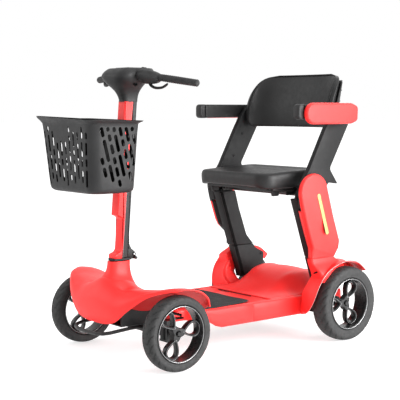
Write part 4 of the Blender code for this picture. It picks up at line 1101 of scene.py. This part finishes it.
# ---------------------------------------------------------------- tiller
def tiller():
    """The red casing with its hand recess and a pale line of painted highlight along its edges, the black
    back and the hinge's ears.
    """
    def outline(front, back, top_back, notch=None, low=0.3015, high=0.768):
        """The casing from the side; a notch is the hand recess in its front."""
        points = [(stem_y(low) + front, low), (stem_y(low) + back, low), (stem_y(high) + top_back, high),
                  (stem_y(high) + front, high)]
        radii = [0.001, 0.001, 0.001, 0.001]
        if notch is not None:
            points += [(stem_y(0.43) + front, 0.43), (stem_y(0.424) + notch, 0.424),
                       (stem_y(0.321) + notch, 0.321), (stem_y(0.314) + front, 0.314)]
            radii += [0.003, 0.015, 0.015, 0.003]
        return rounded(points, radii, 6)

    casing = slab(outline(-0.026, 0.0008, 0.005, -0.0062), -0.018, 0.018, 0.0026, 4)
    piece("tiller_casing", casing, "tiller", RED, ["tiller_front_casing"])
    cover = slab(outline(0.0016, 0.022, 0.0175), -0.0172, 0.0172, 0.003, 4)
    piece("tiller_back", cover, "tiller", CHARCOAL, ["tiller_rear_cover"])
    # thin pale bars down both edges: painted highlight
    highlight_beads = [bar([(side * 0.0173, stem_y(z) + 0.0014, z) for z in (0.303, 0.767)], 0.00085, 8)
             for side in (1, -1)]
    piece("tiller_edge_highlight", joined(*highlight_beads), "tiller", EDGE_HIGHLIGHT)
    ears = []
    for side in (1, -1):
        ears.append(plate([(stem_y(0.306) + 0.015, 0.304), (-0.317, 0.304), (-0.317, 0.317), (-0.329, 0.327),
                           (stem_y(0.33) + 0.015, 0.33)], [0, 0.004, 0.004, 0, 0],
                          side * 0.0115 - 0.0045, side * 0.0115 + 0.0045, 0.0012, 3))
    piece("tiller_ears", joined(*ears), "tiller", BLACK)
    bolts = [screw_head(TILT_PIVOT + Vector((side * 0.016, 0, 0)), 0.0056, side) for side in (1, -1)]
    piece("tiller_bolts", joined(*bolts), "tiller", BLACK)


def latch():
    """The latch at the tiller's foot: its coil, its lever and the pad on it."""
    winding = 12 * pi
    coil = [(0.0055 * cos(a), -0.334 + 0.0042 * sin(a), 0.34 + 0.026 * a / winding)
            for a in evenly(0.0, winding, 145)]
    piece("latch_coil", bar(coil, 0.0013, 8), "tiller", BLACK, ["latch_spring"], sharp=60)
    lever = plate([(-0.34, 0.342), (-0.331, 0.342), (-0.319, 0.318), (-0.306, 0.299), (-0.311, 0.2945),
                   (-0.323, 0.302), (-0.329, 0.32)], [0.002, 0.002, 0.01, 0.002, 0.002, 0.008, 0],
                  -0.005, 0.005, 0.0012, 4)
    piece("latch_arm", lever, "latch_lever", BLACK, ["latch_lever"])
    pad = plate([(-0.312, 0.306), (-0.304, 0.2975), (-0.31, 0.293), (-0.318, 0.3005)], 0.002,
                -0.012, 0.012, 0.0015, 3)
    piece("latch_pad", pad, "latch_lever", BLACK)


GRIP_IN = Vector((0.08, -0.325, 0.843))
GRIP_OUT = (0.252, -0.264)
HEAD = [
    # height, half width, front y, rear y, squareness
    (0.766, 0.02, -0.3545, -0.303, 3.6), (0.774, 0.0206, -0.3555, -0.3025, 3.5),
    (0.785, 0.0232, -0.36, -0.3005, 3.3), (0.795, 0.028, -0.366, -0.2975, 3.1),
    (0.805, 0.037, -0.374, -0.2935, 3.0), (0.815, 0.049, -0.383, -0.289, 3.0),
    (0.824, 0.059, -0.3895, -0.284, 3.2), (0.832, 0.0645, -0.3935, -0.279, 3.4),
    (0.839, 0.0668, -0.3955, -0.274, 3.6), (0.845, 0.0668, -0.3945, -0.2695, 3.8),
    (0.851, 0.0655, -0.39, -0.266, 4.0), (0.857, 0.063, -0.383, -0.265, 4.2),
    (0.8615, 0.0604, -0.376, -0.2665, 4.3), (0.8642, 0.058, -0.371, -0.27, 4.4),
]


def control_head():
    """The smooth head, its display, and a dark plug of painted shade for its socket."""
    rows = []
    for z in evenly(HEAD[0][0], HEAD[-1][0], 53):
        half, front, rear, power = at_height(HEAD, z)
        middle, depth = (front + rear) / 2, (rear - front) / 2
        ring = []
        for x, y in squarish(half, depth, 2 / power, 48):
            crease = 0.0022 * hill(middle + y + 0.352, 0.006) * ease(abs(x), 0.03, 0.06) * ease(z, 0.8, 0.83)
            ring.append((x - copysign(crease, x), middle + y, z))
        rows.append(ring)
    top = rows[-1]
    rows.append([(x * 0.9, -0.3195 + (y + 0.3195) * 0.9, 0.865) for x, y, _ in top])
    piece("head_shell", skin(rows, round_=True, caps=True), "tiller", CHARCOAL, ["control_head"], sharp=50)

    def panel(half_x, half_y, corner, low, high, edge):
        """A level plate on top of the head."""
        return plate([(-half_x, -0.326 - half_y), (half_x, -0.326 - half_y), (half_x, -0.326 + half_y),
                      (-half_x, -0.326 + half_y)], corner, low, high, edge, axis="Z")

    piece("display_glass", panel(0.0335, 0.0255, 0.004, 0.8635, 0.8668, 0.0008), "tiller", GLOSS,
          ["display_panel"])
    piece("display_bezel", panel(0.0365, 0.0285, 0.006, 0.862, 0.8658, 0.001), "tiller", BLACK)
    # the socket is a dark plug of painted shade
    socket = turned((0.0535, -0.34, 0.817), ((0.0, 0.0062), (0.0016, 0.006), (0.0018, 0.0044),
                                             (-0.004, 0.004), (-0.0042, 0.00002)), 24)
    piece("head_socket_shade", socket, "tiller", HOLE_SHADE)


def handlebar_ends():
    """On each side the bar's end, its collar, the ribbed grip and the finger lever."""
    for side, tag, end in ((1, "left", 0.8175), (-1, "right", 0.836)):
        def add(name, bm, body, look, nodes=(), sharp=60):
            """A piece made on the left, mirrored when this is the right."""
            data = mesh_from(bm, sharp)
            piece(name + tag, data if side > 0 else flipped(data), body, look, nodes)

        along = Vector((*GRIP_OUT, end)) - GRIP_IN
        unit = along.normalized()
        across = unit.cross(Vector((0, 0, 1))).normalized()
        up = across.cross(unit)
        add("bar_stub_", bar([(0.01, -0.3245, 0.8425), (0.058, -0.3245, 0.8425), GRIP_IN + along * 0.05,
                              GRIP_IN + along * 0.97], 0.0075, 16), "tiller", BLACK,
            ["handlebar"] if side > 0 else ())

        rows = []
        stops = ((-0.1, 0.0165), (-0.05, 0.0205), (0.03, 0.0222), (0.12, 0.0216), (0.2, 0.019),
                 (0.255, 0.0156), (0.285, 0.013))
        for t in evenly(stops[0][0], stops[-1][0], 25):
            rows.append([GRIP_IN + along * t + (across * cos(a) + up * (sin(a) * 0.94 - 0.16))
                         * cubic(stops, t) * (1 + 0.05 * cos(6 * a)) for a in turns(36)])
        add("collar_", skin(rows, round_=True, caps=True), "tiller", GRIP, sharp=40)

        rows = []
        for k, t in enumerate(evenly(0.245, 1.01, 121)):
            swell = 0.01 + 0.0005 * sin(pi * (t - 0.25) / 0.75)
            radius = swell * (1 - 0.35 * ease(t, 0.99, 1.01) ** 2) + 0.00045 * sin(2 * pi * k / 6)
            rows.append([GRIP_IN + along * t + (across * cos(a) + up * sin(a)) * radius for a in turns(24)])
        add("grip_skin_", skin(rows, round_=True, caps=True), "tiller", GRIP, [f"grip_{tag}"])

        knuckle = GRIP_IN + along * 0.14 - Vector((0.0, 0.0, 0.019 if side > 0 else 0.011))
        path = [knuckle + Vector(step) for step in (
            (-0.012, -0.004, 0.006), (-0.003, -0.004, -0.003), (0.008, -0.006, -0.01),
            (0.024, -0.003, -0.015), (0.042, 0.005, -0.014), (0.054, 0.011, -0.007),
            (0.058, 0.013, -0.0028))]
        line = smooth_path(path, 31)
        thickness = ((0, 0.0052), (1, 0.0056), (3, 0.0064), (5, 0.0054), (6, 0.0036))
        thick = [cubic(thickness, t) for t in evenly(0.0, 6.0, 31)]
        add("lever_", bar(line, thick, 12, 0.62), f"finger_lever_{tag}", BLACK, [f"finger_lever_{tag}"])
        mount = [knuckle + Vector(step) for step in ((-0.016, -0.003, 0.01), (-0.004, -0.003, 0.004),
                                                     (0.012, -0.001, 0.0035))]
        add("lever_mount_", bar(smooth_path(mount, 9), 0.007, 12), "tiller", BLACK)


# ---------------------------------------------------------------- wheels
def tyre(radius, width, centre, body, node):
    """A tyre with a crowned tread, slanted shoulder grooves and a sidewall bead."""
    half, rim = width / 2, 0.083
    profile = [(rim + 0.0004, -0.8), (rim + 0.0004, 0.8), (rim + 0.003, 0.9), (rim + 0.005, 0.93),
               (rim + 0.0065, 0.915), (rim + 0.009, 0.945), ((rim + radius) / 2 + 0.002, 0.992),
               (radius - 0.0105, 0.975), (radius - 0.0075, 0.93), (radius - 0.005, 0.86),
               (radius - 0.0034, 0.76), (radius - 0.0021, 0.62), (radius - 0.0012, 0.48),
               (radius - 0.0006, 0.33), (radius - 0.0001, 0.16), (radius, 0.0)]
    profile += [(r, -u) for r, u in profile[-2:1:-1]]
    grooves = 24
    rows = []
    for angle in turns(288):
        ring = []
        for r, u in profile:
            reach = abs(u)
            cut = 0.0
            if r > rim + 0.012 and 0.16 < reach < 0.985:
                phase = (angle * grooves / (2 * pi) + 1.5 * reach + (0.5 if u < 0 else 0.0)) % 1.0
                gap = min(phase, 1 - phase) / grooves * 2 * pi * r
                depth = 0.0042 * ease(reach, 0.16, 0.34) * (1 - ease(reach, 0.9, 0.985))
                cut = depth * (1 - ease(gap, 0.0008, 0.0028))
            ring.append((centre.x + u * half, centre.y + (r - cut) * sin(angle),
                         centre.z - (r - cut) * cos(angle)))
        rows.append(ring)
    rows.append(rows[0])
    piece(f"{node}_skin", skin(rows, round_=True), body, TYRE, [node], sharp=50)


def ring_about(centre, profile, steps=72):
    """A closed section of (radius, x) points turned about X at a centre."""
    rows = [[(centre.x + x, centre.y + r * sin(a), centre.z - r * cos(a)) for r, x in profile]
            for a in turns(steps)]
    return skin(rows + rows[:1], round_=True)


def rim_parts(name, half, centre, body, turn, out):
    """The dark barrel, a pale ring of painted highlight at its lip, three looped spokes with pale lines of
    painted highlight round them, the hub and the bolt.
    """
    barrel = [(0.0829, -half * 0.8), (0.0829, half * 0.8), (0.0805, half * 0.9), (0.078, half * 0.86),
              (0.077, half * 0.6), (0.077, -half * 0.6), (0.078, -half * 0.86), (0.0805, -half * 0.9)]
    piece(f"{name}_barrel", ring_about(centre, barrel), body, RIM, [name], sharp=30)
    # thin pale rings at the barrel's edges: painted highlight
    lip_highlights = []
    for face in (1, -1):
        x = face * half * 0.905
        section = [(0.0802 + 0.0009 * cos(a), x + 0.0009 * sin(a)) for a in turns(8)]
        lip_highlights.append(ring_about(centre, section, 96))
    piece(f"{name}_lip", joined(*lip_highlights), body, EDGE_HIGHLIGHT)

    middle = -out * half * 0.06

    def loop(u, size):
        """A teardrop from the hub out to the barrel; size widens or narrows it."""
        r = 0.0475 + (0.029 + size) * -cos(u)
        return Vector(((0.0222 + size) * 1.3 * sin(u) * sin(u / 2), r))

    depth, thick = 0.01, 0.0031
    section = ((1, 0.75), (0.6, 1.0), (-0.6, 1.0), (-1, 0.75), (-1, -0.75), (-0.6, -1.0), (0.6, -1.0),
               (1, -0.75))
    spokes, outline_highlights = [], []
    for n in range(3):
        matrix = Matrix.Translation(centre) @ Matrix.Rotation(radians(turn + 120 * n), 4, "X")
        path = [Vector((middle, *loop(a, -0.0022))) for a in turns(40)]
        rows = []
        for before, p, after in zip(path[-1:] + path, path + path[:1], path[1:] + path[:2]):
            along = (after - before).normalized()
            across = Vector((0.0, -along.z, along.y))
            rows.append([p + across * c * thick + Vector((s * depth, 0.0, 0.0)) for c, s in section])
        spokes.append(moved(skin(rows, round_=True), matrix))
        # thin pale loops round each spoke: painted highlight
        path = [Vector((middle + out * 0.0101, *loop(a, 0.0001))) for a in turns(48)]
        outline_highlights.append(moved(bar(path, 0.00065, 6, closed=True), matrix))
    piece(f"{name}_spokes", joined(*spokes), body, RIM, sharp=50)
    piece(f"{name}_outlines", joined(*outline_highlights), body, EDGE_HIGHLIGHT, sharp=60)

    rows = []
    for x, grow in ((-0.01, 0.0), (0.0085, 0.0), (0.01, -0.0012), (0.0104, -0.003)):
        rows.append([(x, 0.0212 + grow + 0.0058 * cos(3 * (a - radians(turn))), a) for a in turns(72)])
    for x, r in ((0.0104, 0.0098), (0.004, 0.009), (0.0036, 0.0002)):
        rows.append([(x, r, a) for a in turns(72)])
    rows = [[(centre.x + middle + out * x, centre.y - r * sin(a), centre.z + r * cos(a)) for x, r, a in row]
            for row in rows]
    piece(f"{name}_hub", skin(rows, round_=True, caps=True), body, CHARCOAL)
    bolt = screw_head((centre.x + middle + out * 0.0038, centre.y, centre.z), 0.0046, out)
    piece(f"{name}_bolt", bolt, body, RIM)


def wheels():
    """All four wheels, the rear pair larger and wider."""
    for end, axle, radius, width, turn in (("front", FRONT_AXLE, 0.11, 0.051, 38.0),
                                           ("rear", REAR_AXLE, 0.12, 0.0615, -30.0)):
        for side, tag in SIDES:
            centre = Vector((axle.x * side, axle.y, axle.z))
            body = f"{end}_wheel_{tag}"
            tyre(radius, width, centre, body, f"{end}_tyre_{tag}")
            rim_parts(f"{end}_rim_{tag}", width / 2, centre, body, turn, side)


# ---------------------------------------------------------------- what the CAD nodes wear
def dress_nodes():
    """Procedural materials for the nodes that stay as they are."""
    looks = {
        FRAME: ("chassis_frame", "head_tube", "bumper_bar", "drive_axle", "knuckle_left", "knuckle_right",
                "tie_rod", "seat_pan"),
        CHARCOAL: ("battery_pack",),
        RED: ("horn_button",),
        BLACK: ("steering_stem", "basket_bracket", "speed_dial"),
        STEEL: ("tilt_pin", "handlebar", "power_button"),
    }
    for look, names in looks.items():
        for name in names:
            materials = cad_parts[name].data.materials
            materials.clear()
            materials.append(look)


for build in (front_hood, deck, floor_mat, rear_body, wheel_covers, leg_roots, legs, struts, seat, backrest,
              side_arms, basket, tiller, latch, control_head, handlebar_ends, wheels, dress_nodes):
    build()


# ---------------------------------------------------------------- stage, light and camera
def look_at(made, target):
    """Turns a light or the camera to a place."""
    made.rotation_euler = (Vector(target) - made.location).to_track_quat("-Z", "Y").to_euler()


def studio():
    """A pale floor, soft lights round it and the camera."""
    floor_mesh = bpy.data.meshes.new("floor")
    floor_mesh.from_pydata([(-40, -40, 0), (40, -40, 0), (40, 40, 0), (-40, 40, 0)], [], [(0, 1, 2, 3)])
    floor = bpy.data.objects.new("floor", floor_mesh)
    floor.location.z = -0.0004
    bpy.context.scene.collection.objects.link(floor)
    pale = Nodes("pale_floor")
    pale.put("Base Color", pale.ramp(pale.noise(2.0, 2.0), (0.57, 0.57, 0.57), (0.59, 0.59, 0.59)))
    pale.put("Roughness", 0.9)
    pale.put("Specular IOR Level", 0.1)
    pale.put("Emission Color", (1.0, 1.0, 1.0, 1.0))
    pale.put("Emission Strength", 0.64)
    floor.data.materials.append(pale.material)

    world = bpy.data.worlds.new("studio")
    world.use_nodes = True
    world.node_tree.nodes["Background"].inputs["Color"].default_value = (1.0, 1.0, 1.0, 1.0)
    world.node_tree.nodes["Background"].inputs["Strength"].default_value = 1.0
    bpy.context.scene.world = world

    lights = (("key", (3.1, 1.3, 1.2), 2.4, 270.0), ("fill", (-2.4, -2.4, 1.6), 2.0, 25.0),
              ("back", (-1.2, 2.8, 2.4), 2.0, 30.0), ("top", (0.2, 0.2, 3.4), 2.0, 20.0))
    for name, place, size, power in lights:
        light = bpy.data.lights.new(name, "AREA")
        light.shape = "SQUARE"
        light.size = size
        light.energy = power
        lamp_object = bpy.data.objects.new(name, light)
        lamp_object.location = place
        bpy.context.scene.collection.objects.link(lamp_object)
        look_at(lamp_object, (0.0, 0.0, 0.4))

    camera = bpy.data.cameras.new("camera")
    camera.lens = 93.94
    camera.sensor_width = 36.0
    camera.clip_end = 100.0
    view = bpy.data.objects.new("camera", camera)
    view.location = (2.5697, -2.0526, 0.7517)
    bpy.context.scene.collection.objects.link(view)
    look_at(view, (0.0, -0.0014, 0.4576))
    bpy.context.scene.camera = view
    bpy.context.scene.view_settings.view_transform = "Standard"


studio()
